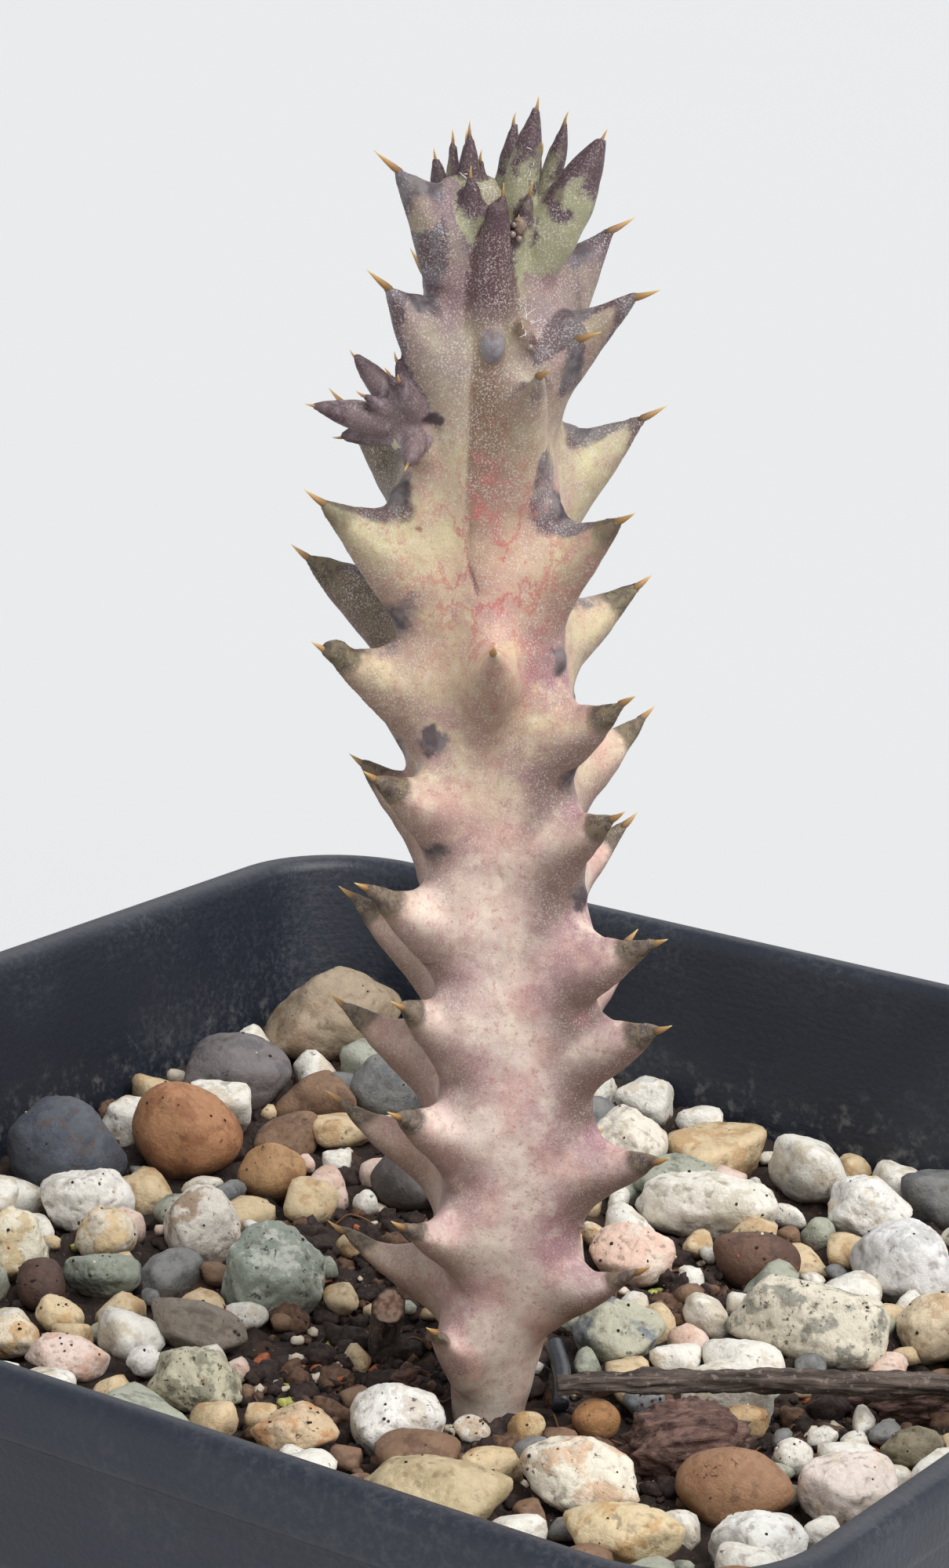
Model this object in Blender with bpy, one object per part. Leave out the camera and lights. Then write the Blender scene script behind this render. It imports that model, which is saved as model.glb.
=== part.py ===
"""A young potted edithcolea: one toothed succulent stem rooted in a square nursery pot of gritty soil.

All sizes below are in millimetres. The origin is the middle of the pot's foot, +Z is up and -Y is the front.
Azimuths are degrees round +Z, with 0 towards -Y and 90 towards +X.
"""

import math
import random

import bmesh
import bpy
from mathutils import Matrix, Vector, noise

MM = 0.001
GAP = 0.3

# Pot: a thin moulded square pot with a collar and a rolled lip.
POT_SIDE = 80.0
POT_HEIGHT = 75.0
FOOT_HALF = 28.0
FOOT_DEPTH = 1.5
FLOOR_TOP = 3.0
WALL = 1.2
COLLAR_BOTTOM = 64.6
COLLAR_HALF = 39.1
LIP_BOTTOM = 71.8
LIP_WIDTH = 2.0
LIP_DROP = 1.2
LIP_CORNER = 8.0
FOOT_CORNER = 5.0
CORNER_STEPS = 4
DRAIN_RADIUS = 4.0
DRAIN_OFFSET = 14.0
DRAIN_SIDES = 16

# Soil: fills the pot to about a sixth of its height below the lip, and is heaped towards the back left.
SOIL_LEVEL = 62.5
SOIL_BOTTOM = 3.4
SOIL_CELLS = 32
HEAP_RISE = 3.0
HEAP_REACH = 48.0

# Stem: stands in a plain hole in the soil, a little in front of the pot's middle.
VIEW_AZIMUTH = 34.0
STEM_X, STEM_Y = 4.3, -4.6
STEM_HEIGHT = 62.4
FACE_STEPS = 4
SPINE_LENGTH = 1.1
SPINE_RADIUS = 0.3

# Radius of the stem between its teeth, at heights above the soil.
CORE = [(-5.2, 1.5), (-2.5, 2.0), (0.0, 2.35), (3.0, 2.8), (6.0, 3.35), (10.0, 3.85), (16.0, 4.05),
        (24.0, 4.1), (32.0, 4.1), (40.0, 4.15), (47.0, 4.0), (52.0, 3.5), (57.0, 3.1), (60.5, 2.6),
        (62.4, 1.5)]

# Teeth of each row, from the ground up: azimuth from the photographed side, height and reach of the spine's
# end, and, where a tooth is shorter than its neighbours, the height of its root.
RIDGES = {
    "left_back": [(-108, 8.5, 9.7), (-105, 15.6, 10.0), (-112, 20.3, 10.2), (-110, 26.4, 9.2),
                  (-114, 33.2, 8.2), (-126, 38.0, 8.8), (-113, 43.6, 10.4), (-120, 51.4, 8.8),
                  (-142, 58.2, 6.6)],
    "left_front": [(-42, 5.6, 5.6), (-42, 12.1, 8.9), (-43, 17.9, 9.2), (-43, 23.4, 8.7),
                   (-50, 29.3, 9.5), (-47, 34.6, 8.7), (-62, 40.6, 9.5), (-65, 47.9, 9.3),
                   (-52, 58.6, 7.5), (-65, 63.9, 6.8)],
    "right_front": [(55, 9.6, 8.6), (52, 15.8, 9.6), (52, 22.6, 9.7), (52, 27.0, 9.7), (46, 33.1, 8.4),
                    (50, 38.8, 9.1), (52, 47.6, 9.2), (56, 55.9, 6.4, 4.6), (74, 57.9, 8.3, 4.8)],
    "right_back": [(150, 6.5, 8.3), (149, 12.4, 9.2), (148, 18.4, 9.0), (138, 23.4, 9.6),
                   (130, 30.0, 8.8), (124, 35.6, 9.7), (122, 42.4, 9.8), (106, 51.4, 9.3),
                   (116, 60.4, 7.4)],
}
RIDGE_RISE = 0.2
ROUND_FROM = 54.0

# Two more rows start half way up, on the front and on the back face.
FACE_TEETH = [(3, 41.6, 8.4), (23, 54.6, 7.6), (0, 61.0, 5.9), (178, 46.8, 9.0), (-172, 53.6, 8.6),
              (176, 60.6, 6.2)]

# Young erect tubercles round the growing tip: azimuth, distance of foot, lean outwards, height of tip and
# radius.
CROWN = [
    (-74, 2.5, 0.3, 64.9, 0.55), (-58, 1.9, 0.4, 65.4, 0.75), (-34, 2.3, 0.8, 63.4, 0.95),
    (170, 1.5, 0.4, 65.6, 0.75), (70, 0.9, 0.6, 66.6, 1.05), (112, 2.2, 0.9, 65.8, 0.75),
    (82, 2.6, 2.3, 65.2, 1.5), (6, 1.7, 0.4, 62.6, 0.6), (48, 2.0, 0.5, 62.7, 0.6),
    (-140, 2.2, 1.0, 64.6, 0.8), (-106, 2.6, 1.2, 64.0, 0.8),
]

# Side shoot low on the left front row: where it sits, and the tubercles of its small rosette.
SHOOT_AZIMUTH, SHOOT_HEIGHT, SHOOT_REACH = -53, 50.8, 4.5
SHOOT = [
    (-62, 78, 4.0, 0.8), (-98, 58, 4.4, 0.9), (-80, 14, 4.8, 0.95), (-104, -8, 3.8, 0.9),
    (-44, 64, 3.6, 0.8), (-16, 48, 3.4, 0.85), (-4, -4, 3.6, 0.9), (-30, -34, 3.6, 0.9), (-60, 38, 3.2, 0.7),
]

# Loose stones by colour: place, length, width, height and turn, set where the photograph shows each one.
STONES = {
    "white": [(3.1, -10.8, 5.0, 4.2, 4.0, 40), (14.4, -11.2, 6.0, 4.8, 4.2, 20),
              (24.4, -11.4, 4.6, 4.2, 3.4, 30), (25.4, -4.0, 5.0, 4.6, 4.0, 40),
              (20.6, -1.7, 2.2, 2.0, 1.9, 30), (5.4, -8.4, 2.1, 1.7, 1.6, 30),
              (13.4, 12.4, 8.8, 5.2, 4.8, 14), (-7.3, 26.8, 5.0, 4.4, 4.8, 60),
              (0.9, 22.4, 8.4, 4.6, 4.0, 24), (13.4, 22.8, 6.4, 5.4, 4.8, 10),
              (-25.8, -6.5, 4.0, 4.4, 4.6, 30), (-27.6, 1.6, 5.2, 3.6, 3.5, 40),
              (-19.4, 2.2, 4.6, 4.4, 4.2, 30), (-11.8, -12.6, 2.0, 1.8, 1.9, 30),
              (-19.6, -14.2, 3.0, 2.6, 2.4, 30), (8.0, 28.4, 5.0, 4.4, 4.0, 20),
              (30.4, 18.0, 5.4, 4.8, 4.4, 60), (-28.6, -22.4, 5.8, 4.8, 4.4, 30)],
    "tan": [(-0.4, -14.4, 4.3, 3.2, 2.7, 30), (9.4, -17.2, 7.8, 4.6, 3.9, 32),
            (19.4, -15.4, 6.0, 4.2, 3.6, 20), (8.2, -7.0, 2.0, 1.8, 1.8, 30),
            (16.4, 0.6, 2.6, 2.0, 2.2, 34), (18.4, 17.0, 4.0, 4.4, 4.0, 30),
            (-23.6, -1.4, 3.4, 3.0, 2.8, 30), (-19.4, -10.4, 2.6, 2.4, 2.2, 10),
            (-33.0, 30.6, 9.4, 7.0, 6.4, 60), (-9.4, 22.0, 4.4, 3.8, 3.4, 20),
            (31.0, 6.0, 5.2, 4.2, 3.8, 70), (11.6, -27.8, 5.6, 4.6, 4.2, 10)],
    "brown": [(20.4, -7.2, 6.0, 4.6, 4.4, 4), (10.2, -3.9, 2.4, 2.1, 2.2, 34),
              (6.4, 18.4, 5.0, 3.2, 3.2, 30), (-22.6, -8.2, 2.6, 3.0, 3.0, 60),
              (-27.6, 10.6, 6.4, 7.0, 6.2, 60), (-21.8, 11.2, 3.8, 4.0, 3.6, 20),
              (27.4, -18.6, 5.2, 4.4, 4.0, 30)],
    "grey": [(10.4, 0.4, 2.2, 1.9, 1.9, 20), (-12.2, -8.0, 7.0, 3.4, 3.4, -16),
             (-33.2, 5.2, 7.0, 7.2, 6.4, 30), (-31.4, 20.6, 6.6, 5.6, 4.8, 40),
             (-14.6, 15.4, 4.8, 4.4, 3.4, 10), (-22.6, 24.6, 5.4, 4.6, 4.2, 50),
             (-6.4, -26.4, 5.8, 5.0, 4.4, 20)],
    "green": [(5.6, 5.4, 5.0, 4.2, 3.8, 40), (24.8, 3.0, 3.2, 2.8, 2.4, 30),
              (-12.9, -0.3, 6.4, 5.4, 5.8, 60), (-20.6, -5.2, 4.2, 2.8, 2.6, 30),
              (-7.8, -13.6, 5.0, 3.6, 3.4, 20)],
    "pink": [(0.6, 14.8, 4.8, 4.4, 3.9, 30), (-15.4, -14.8, 4.4, 3.0, 2.6, 34)],
}
STONE_SEATING = 0.22
SOCKET_SIDES = 9
SOCKET_EASE = 1.14

# Small stones that lie half sunk in the soil, drawn by rule over the rest of the pot.
GRIT_SEED = 11
GRIT_TRIES = 900
GRIT_SIZES = (2.2, 3.4)
GRIT_CAP = 0.8
SETTLING_ROUNDS = 200
PEBBLE_FLATS = 7
BARE_PATCHES = [(4.3, -4.6, 5.4), (-5.0, -8.0, 5.2), (5.2, 11.0, 3.4), (20.6, 5.6, 4.4),
                (16.0, -4.6, 4.6)]

# Litter on the soil: twigs, bark and a sliver of black plastic.
TWIG = [(8.6, -4.9, 64.75), (12.2, -2.1, 65.0), (16.6, 1.1, 65.2), (20.8, 4.2, 65.1), (25.2, 7.6, 65.0),
        (29.0, 10.8, 64.7)]
TWIG_RADII = [0.42, 0.58, 0.55, 0.6, 0.52, 0.36]
STUB = [(-4.7, -1.4, 59.4), (-4.3, -1.9, 62.6), (-3.2, -3.1, 65.4)]
STUB_RADII = [0.7, 0.8, 0.86]
SLIVER = [(4.2, 1.6, 63.7), (6.4, -1.0, 63.5), (8.2, -3.9, 63.2)]
SLIVER_RADII = [0.5, 0.5, 0.5]
BARK = {
    "bark_chip_front": (15.9, -4.6, 7.4, 4.4, 4.6, 52),
    "bark_chip_right": (21.2, 8.6, 6.0, 2.6, 2.8, 36),
    "bark_flake": (0.2, -6.0, 2.8, 1.2, 2.6, 80),
}

COLOURS = {
    "pot": (0.022, 0.025, 0.032), "soil": (0.045, 0.028, 0.02), "stem": (0.5, 0.36, 0.31),
    "white": (0.74, 0.71, 0.64), "tan": (0.58, 0.42, 0.26), "brown": (0.32, 0.2, 0.13),
    "grey": (0.24, 0.24, 0.24), "green": (0.44, 0.46, 0.4), "pink": (0.7, 0.52, 0.44),
    "twig": (0.12, 0.085, 0.065), "bark": (0.1, 0.05, 0.035), "sliver": (0.02, 0.024, 0.032),
}
ROUGHNESS = {"pot": 0.38, "sliver": 0.3, "stem": 0.5}


def clear_scene():
    for obj in list(bpy.data.objects):
        bpy.data.objects.remove(obj, do_unlink=True)


def material(kind):
    made = bpy.data.materials.get(kind)
    if made is None:
        made = bpy.data.materials.new(kind)
        made.use_nodes = True
        shader = made.node_tree.nodes["Principled BSDF"]
        shader.inputs["Base Color"].default_value = (*COLOURS[kind], 1.0)
        shader.inputs["Roughness"].default_value = ROUGHNESS.get(kind, 0.8)
        shader.inputs["Metallic"].default_value = 0.0
    return made


def add_object(name, bm, kind, smooth_angle=40.0):
    """Turn a mesh drawn in millimetres into a named object in metres."""
    bmesh.ops.scale(bm, vec=(MM, MM, MM), verts=bm.verts)
    bmesh.ops.recalc_face_normals(bm, faces=bm.faces)
    mesh = bpy.data.meshes.new(name)
    bm.to_mesh(mesh)
    bm.free()
    mesh.shade_smooth()
    mesh.set_sharp_from_angle(angle=math.radians(smooth_angle))
    mesh.materials.append(material(kind))
    obj = bpy.data.objects.new(name, mesh)
    bpy.context.scene.collection.objects.link(obj)
    return obj


def skin(bm, rings):
    """Join rings of equal length into a closed skin; a ring of one point closes the skin in a tip."""
    rows = [[bm.verts.new(p) for p in ring] for ring in rings]
    for low, high in zip(rows, rows[1:]):
        count = max(len(low), len(high))
        for i in range(count):
            j = (i + 1) % count
            if len(high) == 1:
                bm.faces.new((low[i], low[j], high[0]))
            elif len(low) == 1:
                bm.faces.new((low[0], high[j], high[i]))
            else:
                bm.faces.new((low[i], low[j], high[j], high[i]))
    for row in (rows[0], rows[-1]):
        if len(row) > 2:
            bm.faces.new(row)


def apply_boolean(obj, others, operation):
    """Join or cut obj with all the others at once, then remove them."""
    group = bpy.data.collections.new(obj.name + "_tools")
    bpy.context.scene.collection.children.link(group)
    for other in others:
        bpy.context.scene.collection.objects.unlink(other)
        group.objects.link(other)
        other.hide_render = True
        other.display_type = "WIRE"
    cut = obj.modifiers.new("shape", "BOOLEAN")
    cut.operation = operation
    cut.solver = "MANIFOLD"
    cut.operand_type = "COLLECTION"
    cut.collection = group
    graph = bpy.context.evaluated_depsgraph_get()
    shaped = bpy.data.meshes.new_from_object(obj.evaluated_get(graph), depsgraph=graph)
    obj.modifiers.clear()
    obj.data = shaped
    for other in others:
        bpy.data.objects.remove(other, do_unlink=True)
    bpy.data.collections.remove(group)


def heading(azimuth):
    """Level direction of an azimuth that is counted from the photographed side."""
    turn = math.radians(VIEW_AZIMUTH + azimuth)
    return Vector((math.sin(turn), -math.cos(turn), 0.0))


def between(table, at):
    """Straight-line reading of a table of pairs."""
    for (low, a), (high, b) in zip(table, table[1:]):
        if at <= high:
            return a + (b - a) * max(0.0, at - low) / (high - low)
    return table[-1][1]


# Pot

def rounded_square(half, corner, z):
    points = []
    for quarter in range(4):
        sx, sy = ((1, 1), (-1, 1), (-1, -1), (1, -1))[quarter]
        for step in range(CORNER_STEPS + 1):
            turn = math.radians(90.0 * (quarter + step / CORNER_STEPS))
            points.append((sx * (half - corner) + corner * math.cos(turn),
                           sy * (half - corner) + corner * math.sin(turn), z))
    return points


def inner_half(z):
    """Half width of the pot's inner wall, which tapers evenly from the lip to the floor."""
    low, high = FOOT_HALF - WALL, POT_SIDE / 2 - LIP_WIDTH
    return low + (high - low) * (z - FLOOR_TOP) / (POT_HEIGHT - LIP_DROP - FLOOR_TOP)


def inner_corner(z):
    low, high = FOOT_CORNER - WALL, LIP_CORNER - LIP_WIDTH
    return low + (high - low) * (z - FLOOR_TOP) / (POT_HEIGHT - LIP_DROP - FLOOR_TOP)


def make_pot():
    half = POT_SIDE / 2
    top = POT_HEIGHT
    outline = [
        (FOOT_HALF - 2.6, FOOT_CORNER - 2.4, FOOT_DEPTH), (FOOT_HALF - 2.1, FOOT_CORNER - 2.0, 0.3),
        (FOOT_HALF - 1.8, FOOT_CORNER - 1.8, 0.0), (FOOT_HALF - 0.4, FOOT_CORNER - 0.4, 0.0),
        (FOOT_HALF, FOOT_CORNER, 0.5),
        (inner_half(COLLAR_BOTTOM) + WALL, inner_corner(COLLAR_BOTTOM) + WALL, COLLAR_BOTTOM),
        (COLLAR_HALF - 0.3, LIP_CORNER - 1.1, COLLAR_BOTTOM + 0.2),
        (COLLAR_HALF, LIP_CORNER - 0.9, COLLAR_BOTTOM + 0.7),
        (COLLAR_HALF + 0.1, LIP_CORNER - 0.8, LIP_BOTTOM - 0.3), (half - 0.1, LIP_CORNER - 0.1, LIP_BOTTOM),
        (half, LIP_CORNER, LIP_BOTTOM + 0.5), (half, LIP_CORNER, top - 0.8),
        (half - 0.3, LIP_CORNER - 0.3, top - 0.2),
        (half - 0.8, LIP_CORNER - 0.8, top), (half - 1.4, LIP_CORNER - 1.4, top - 0.1),
        (half - 1.85, LIP_CORNER - 1.85, top - 0.5),
        (inner_half(top - LIP_DROP), inner_corner(top - LIP_DROP), top - LIP_DROP),
        (inner_half(SOIL_LEVEL), inner_corner(SOIL_LEVEL), SOIL_LEVEL),
        (inner_half(FLOOR_TOP + 0.4), inner_corner(FLOOR_TOP + 0.4), FLOOR_TOP + 0.4),
        (inner_half(FLOOR_TOP) - 0.4, inner_corner(FLOOR_TOP) - 0.4, FLOOR_TOP),
    ]
    bm = bmesh.new()
    skin(bm, [rounded_square(*row) for row in outline])
    pot = add_object("pot", bm, "pot")
    drills = []
    for x, y in ((0, 0), (1, 1), (-1, 1), (-1, -1), (1, -1)):
        drill = bmesh.new()
        middle = Matrix.Translation((x * DRAIN_OFFSET, y * DRAIN_OFFSET, FLOOR_TOP / 2))
        bmesh.ops.create_cone(drill, cap_ends=True, segments=DRAIN_SIDES, radius1=DRAIN_RADIUS,
                              radius2=DRAIN_RADIUS, depth=FLOOR_TOP * 2, matrix=middle)
        drills.append(add_object("drill", drill, "pot"))
    apply_boolean(pot, drills, "DIFFERENCE")
    return pot


# Soil and what lies on it

def ground(x, y):
    """Height of the soil, heaped towards the back left and gently uneven."""
    back = -heading(0.0)
    away = (x - STEM_X) * back.x + (y - STEM_Y) * back.y
    heap = HEAP_RISE * max(0.0, min(1.0, away / HEAP_REACH)) ** 1.5
    uneven = 0.3 * math.sin(0.31 * x + 1.3) * math.cos(0.27 * y - 0.4)
    return SOIL_LEVEL + heap + uneven


def support(stone, dx, dy):
    """Half width of a stone's outline towards a level direction."""
    turn = math.radians(stone["turn"])
    along = dx * math.cos(turn) + dy * math.sin(turn)
    across = dy * math.cos(turn) - dx * math.sin(turn)
    return 0.5 * math.hypot(stone["length"] * along, stone["width"] * across)


def lay_stones():
    """Read the stones, then push apart any that touch each other, the stem or the wall."""
    stones = []
    for kind, rows in STONES.items():
        for number, (x, y, length, width, height, turn) in enumerate(rows, 1):
            stones.append({"name": f"stone_{kind}_{number}", "kind": kind, "x": x, "y": y, "length": length,
                           "width": width, "height": height, "turn": turn, "fixed": False})
    for name, (x, y, length, width, height, turn) in BARK.items():
        stones.append({"name": name, "kind": "bark", "x": x, "y": y, "length": length, "width": width,
                       "height": height, "turn": turn, "fixed": True})
    posts = [(STEM_X, STEM_Y, 3.6), (STUB[1][0], STUB[1][1], 1.3), (SLIVER[1][0], SLIVER[1][1], 1.0),
             (SLIVER[0][0], SLIVER[0][1], 1.0), (SLIVER[2][0], SLIVER[2][1], 1.0)]
    room = inner_half(SOIL_LEVEL) - 1.0
    for _ in range(SETTLING_ROUNDS):
        for i, a in enumerate(stones):
            for b in stones[i + 1:]:
                dx, dy = b["x"] - a["x"], b["y"] - a["y"]
                apart = math.hypot(dx, dy)
                dx, dy = dx / apart, dy / apart
                short = support(a, dx, dy) + support(b, dx, dy) + GAP + 0.1 - apart
                if short > 0:
                    share = 0.5 * (not a["fixed"]) + 0.5 * (not a["fixed"] and b["fixed"])
                    a["x"] -= dx * short * share
                    a["y"] -= dy * short * share
                    b["x"] += dx * short * (1 - share) * (not b["fixed"])
                    b["y"] += dy * short * (1 - share) * (not b["fixed"])
            for px, py, radius in posts:
                dx, dy = a["x"] - px, a["y"] - py
                apart = math.hypot(dx, dy)
                short = radius + support(a, dx / apart, dy / apart) - apart
                if short > 0 and not a["fixed"]:
                    a["x"] += dx / apart * short
                    a["y"] += dy / apart * short
            a["x"] = max(support(a, 1, 0) - room, min(room - support(a, 1, 0), a["x"]))
            a["y"] = max(support(a, 0, 1) - room, min(room - support(a, 0, 1), a["y"]))
    for stone in stones:
        stone["z"] = ground(stone["x"], stone["y"]) + STONE_SEATING * stone["height"]
    return stones


def draw_grit(stones):
    """Half sunk stones over the rest of the pot, clear of the loose stones and of the bare patches."""
    draw = random.Random(GRIT_SEED)
    room = inner_half(SOIL_LEVEL) - 0.8
    grit = []
    for _ in range(GRIT_TRIES):
        x, y = draw.uniform(-room, room), draw.uniform(-room, room)
        radius = draw.uniform(*GRIT_SIZES)
        inside = max(abs(x), abs(y)) < room - radius
        clear = all(math.hypot(x - px, y - py) > pr + radius * 0.6 for px, py, pr in BARE_PATCHES)
        for stone in stones:
            dx, dy = x - stone["x"], y - stone["y"]
            apart = max(math.hypot(dx, dy), 0.01)
            clear = clear and apart > support(stone, dx / apart, dy / apart) + radius * 0.85
        clear = clear and all(math.hypot(x - g[0], y - g[1]) > radius + g[2] + 0.1 for g in grit)
        if inside and clear:
            grit.append((x, y, radius))
    return grit


def socket(stone):
    """The hollow in the soil that a loose stone sits in: a bowl a little wider than the stone."""
    turn = math.radians(stone["turn"])
    bm = bmesh.new()
    rings = []
    for rise, spread in ((-0.5, 0.72), (0.0, 1.0), (0.6, 1.0)):
        ring = []
        for s in range(SOCKET_SIDES):
            around = 2 * math.pi * s / SOCKET_SIDES
            along = (stone["length"] / 2 * SOCKET_EASE + GAP) * spread * math.cos(around)
            across = (stone["width"] / 2 * SOCKET_EASE + GAP) * spread * math.sin(around)
            ring.append((stone["x"] + along * math.cos(turn) - across * math.sin(turn),
                         stone["y"] + along * math.sin(turn) + across * math.cos(turn),
                         stone["z"] + rise * (stone["height"] * SOCKET_EASE + 2 * GAP)))
        rings.append(ring)
    skin(bm, rings)
    return add_object("socket", bm, "soil")


def pebble(name, stone):
    """A convex, slightly angular stone: a ball with a few flats, stretched to the stone's three sizes."""
    draw = random.Random(name)
    ball = bmesh.new()
    bmesh.ops.create_icosphere(ball, subdivisions=2, radius=1.0)
    flats = []
    for _ in range(PEBBLE_FLATS):
        flats.append((Vector((draw.gauss(0, 1), draw.gauss(0, 1), draw.gauss(0, 1))).normalized(),
                      draw.uniform(0.74, 0.9)))
    bm = bmesh.new()
    for v in ball.verts:
        spot = v.co * draw.uniform(0.95, 1.0)
        for normal, depth in flats:
            spot -= normal * max(0.0, spot.dot(normal) - depth)
        bm.verts.new(spot)
    ball.free()
    bmesh.ops.convex_hull(bm, input=bm.verts)
    bmesh.ops.delete(bm, geom=[v for v in bm.verts if not v.link_faces], context="VERTS")
    size = []
    for axis, full in enumerate((stone["length"], stone["width"], stone["height"])):
        reach = [v.co[axis] for v in bm.verts]
        size.append(full / (max(reach) - min(reach)))
    place = Matrix.Translation((stone["x"], stone["y"], stone["z"]))
    lean = Matrix.Rotation(math.radians(draw.uniform(-9, 9)), 4, "X")
    turn = Matrix.Rotation(math.radians(stone["turn"]), 4, "Z")
    bmesh.ops.transform(bm, matrix=place @ turn @ lean @ Matrix.Diagonal((*size, 1.0)), verts=bm.verts)
    return add_object(name, bm, stone["kind"])


def rod(name, path, radii, kind, sides=8, grow=0.0):
    """A rod with rings square to its path."""
    points = [Vector(p) for p in path]
    if grow:
        points[0] -= (points[1] - points[0]).normalized() * grow
        points[-1] += (points[-1] - points[-2]).normalized() * grow
    upright = abs((points[-1] - points[0]).normalized().z) > 0.7
    square_to = Vector((1, 0, 0)) if upright else Vector((0, 0, 1))
    rings = []
    for i, point in enumerate(points):
        along = (points[min(i + 1, len(points) - 1)] - points[max(i - 1, 0)]).normalized()
        side = along.cross(square_to).normalized()
        rise = side.cross(along)
        ring = []
        for s in range(sides):
            turn = 2 * math.pi * s / sides
            ring.append(point + (side * math.cos(turn) + rise * math.sin(turn)) * (radii[i] + grow))
        rings.append(ring)
    bm = bmesh.new()
    skin(bm, rings)
    return add_object(name, bm, kind)


def soil_spot(u, v, z):
    """A point of the unit square laid onto the pot's rounded square at height z, clear of the wall."""
    half = inner_half(z) - GAP * 1.05
    corner = inner_corner(z) - GAP
    straight = 0.84
    spot = []
    over = []
    for w in (u, v):
        over.append(max(0.0, abs(w) - straight) / (1.0 - straight))
        spot.append(min(abs(w), straight) / straight * (half - corner))
    reach = math.hypot(*over)
    shrink = max(over) / reach if reach else 1.0
    return (math.copysign(spot[0] + corner * over[0] * shrink, u),
            math.copysign(spot[1] + corner * over[1] * shrink, v), z)


def make_soil(stones, grit, stem_rings):
    bm = bmesh.new()
    reach = inner_half(SOIL_LEVEL)
    grid = []
    for j in range(SOIL_CELLS + 1):
        row = []
        for i in range(SOIL_CELLS + 1):
            u, v = 2.0 * i / SOIL_CELLS - 1.0, 2.0 * j / SOIL_CELLS - 1.0
            x, y = u * reach, v * reach
            z = ground(x, y) + 0.35 * noise.noise(Vector((x * 0.55, y * 0.55, 3.0)))
            for gx, gy, radius in grit:
                apart = math.hypot(x - gx, y - gy) / radius
                if apart < 1.0:
                    z = max(z, ground(gx, gy) + GRIT_CAP * radius * math.sqrt(1.0 - apart * apart))
            row.append(bm.verts.new(soil_spot(u, v, z)))
        grid.append(row)
    for j in range(SOIL_CELLS):
        for i in range(SOIL_CELLS):
            a, b, c, d = grid[j][i], grid[j][i + 1], grid[j + 1][i + 1], grid[j + 1][i]
            bm.faces.new((a, b, c))
            bm.faces.new((a, c, d))
    n = SOIL_CELLS
    edge = [(i, 0) for i in range(n)] + [(n, j) for j in range(n)]
    edge += [(n - i, n) for i in range(n)] + [(0, n - j) for j in range(n)]
    low = [bm.verts.new(soil_spot(2.0 * i / n - 1.0, 2.0 * j / n - 1.0, SOIL_BOTTOM)) for i, j in edge]
    for k, (i, j) in enumerate(edge):
        ni, nj = edge[(k + 1) % len(edge)]
        bm.faces.new((grid[j][i], low[k], low[(k + 1) % len(edge)]))
        bm.faces.new((grid[j][i], low[(k + 1) % len(edge)], grid[nj][ni]))
    bm.faces.new(low)
    soil = add_object("soil", bm, "soil")
    hole = bmesh.new()
    skin(hole, stem_rings)
    cutters = [add_object("hole", hole, "soil")]
    cutters += [socket(s) for s in stones]
    cutters.append(rod("cut_twig", TWIG, TWIG_RADII, "soil", grow=GAP + 0.1))
    cutters.append(rod("cut_stub", STUB, STUB_RADII, "soil", grow=GAP + 0.1))
    cutters.append(rod("cut_sliver", SLIVER, SLIVER_RADII, "soil", sides=4, grow=GAP + 0.15))
    apply_boolean(soil, cutters, "DIFFERENCE")
    return soil


# Stem

def core_point(height):
    """Middle of the stem at a height above the soil: it sways a little to the sides."""
    side = heading(90.0)
    sway = -1.4 * height / 65.0 + 1.1 * math.sin(2 * math.pi * height / 66.0) * (height > 0)
    return Vector((STEM_X, STEM_Y, SOIL_LEVEL + height)) + side * sway


def core_rings(grow=0.0, top=STEM_HEIGHT):
    """Rings of the stem: four faces that meet in the ridges, which wander as their rows of teeth do."""
    rings = []
    for height, radius in CORE:
        if height > top:
            break
        middle = core_point(height)
        middle.z -= grow * (height == CORE[0][0])
        ridges = [between([(h, azimuth) for azimuth, h, *_ in row], height) for row in RIDGES.values()]
        square = max(0.0, min(1.0, height / 9.0, (ROUND_FROM - height) / 12.0))
        ring = []
        for near, far in zip(ridges, ridges[1:] + [ridges[0] + 360.0]):
            for step in range(FACE_STEPS):
                across = step / FACE_STEPS
                swell = 1.0 + square * RIDGE_RISE * (2.0 * (2.0 * across - 1.0) ** 2 - 0.5)
                ring.append(middle + heading(near + (far - near) * across) * (radius * swell + grow))
        rings.append(ring)
    return rings


def blade(bm, foot, out, sections):
    """A flattened tooth: each section gives its reach, middle height, half height and half thickness."""
    side = Vector((-out.y, out.x, 0.0))
    rings = []
    for reach, middle, tall, thick in sections:
        at = foot + out * reach
        at.z = middle
        if tall == 0.0:
            rings.append([at])
            continue
        ring = []
        for across, up in ((0, 1), (-1, 0.35), (-1, -0.45), (0, -1), (1, -0.45), (1, 0.35)):
            ring.append(at + side * across * thick + Vector((0, 0, up * tall)))
        rings.append(ring)
    skin(bm, rings)


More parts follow.
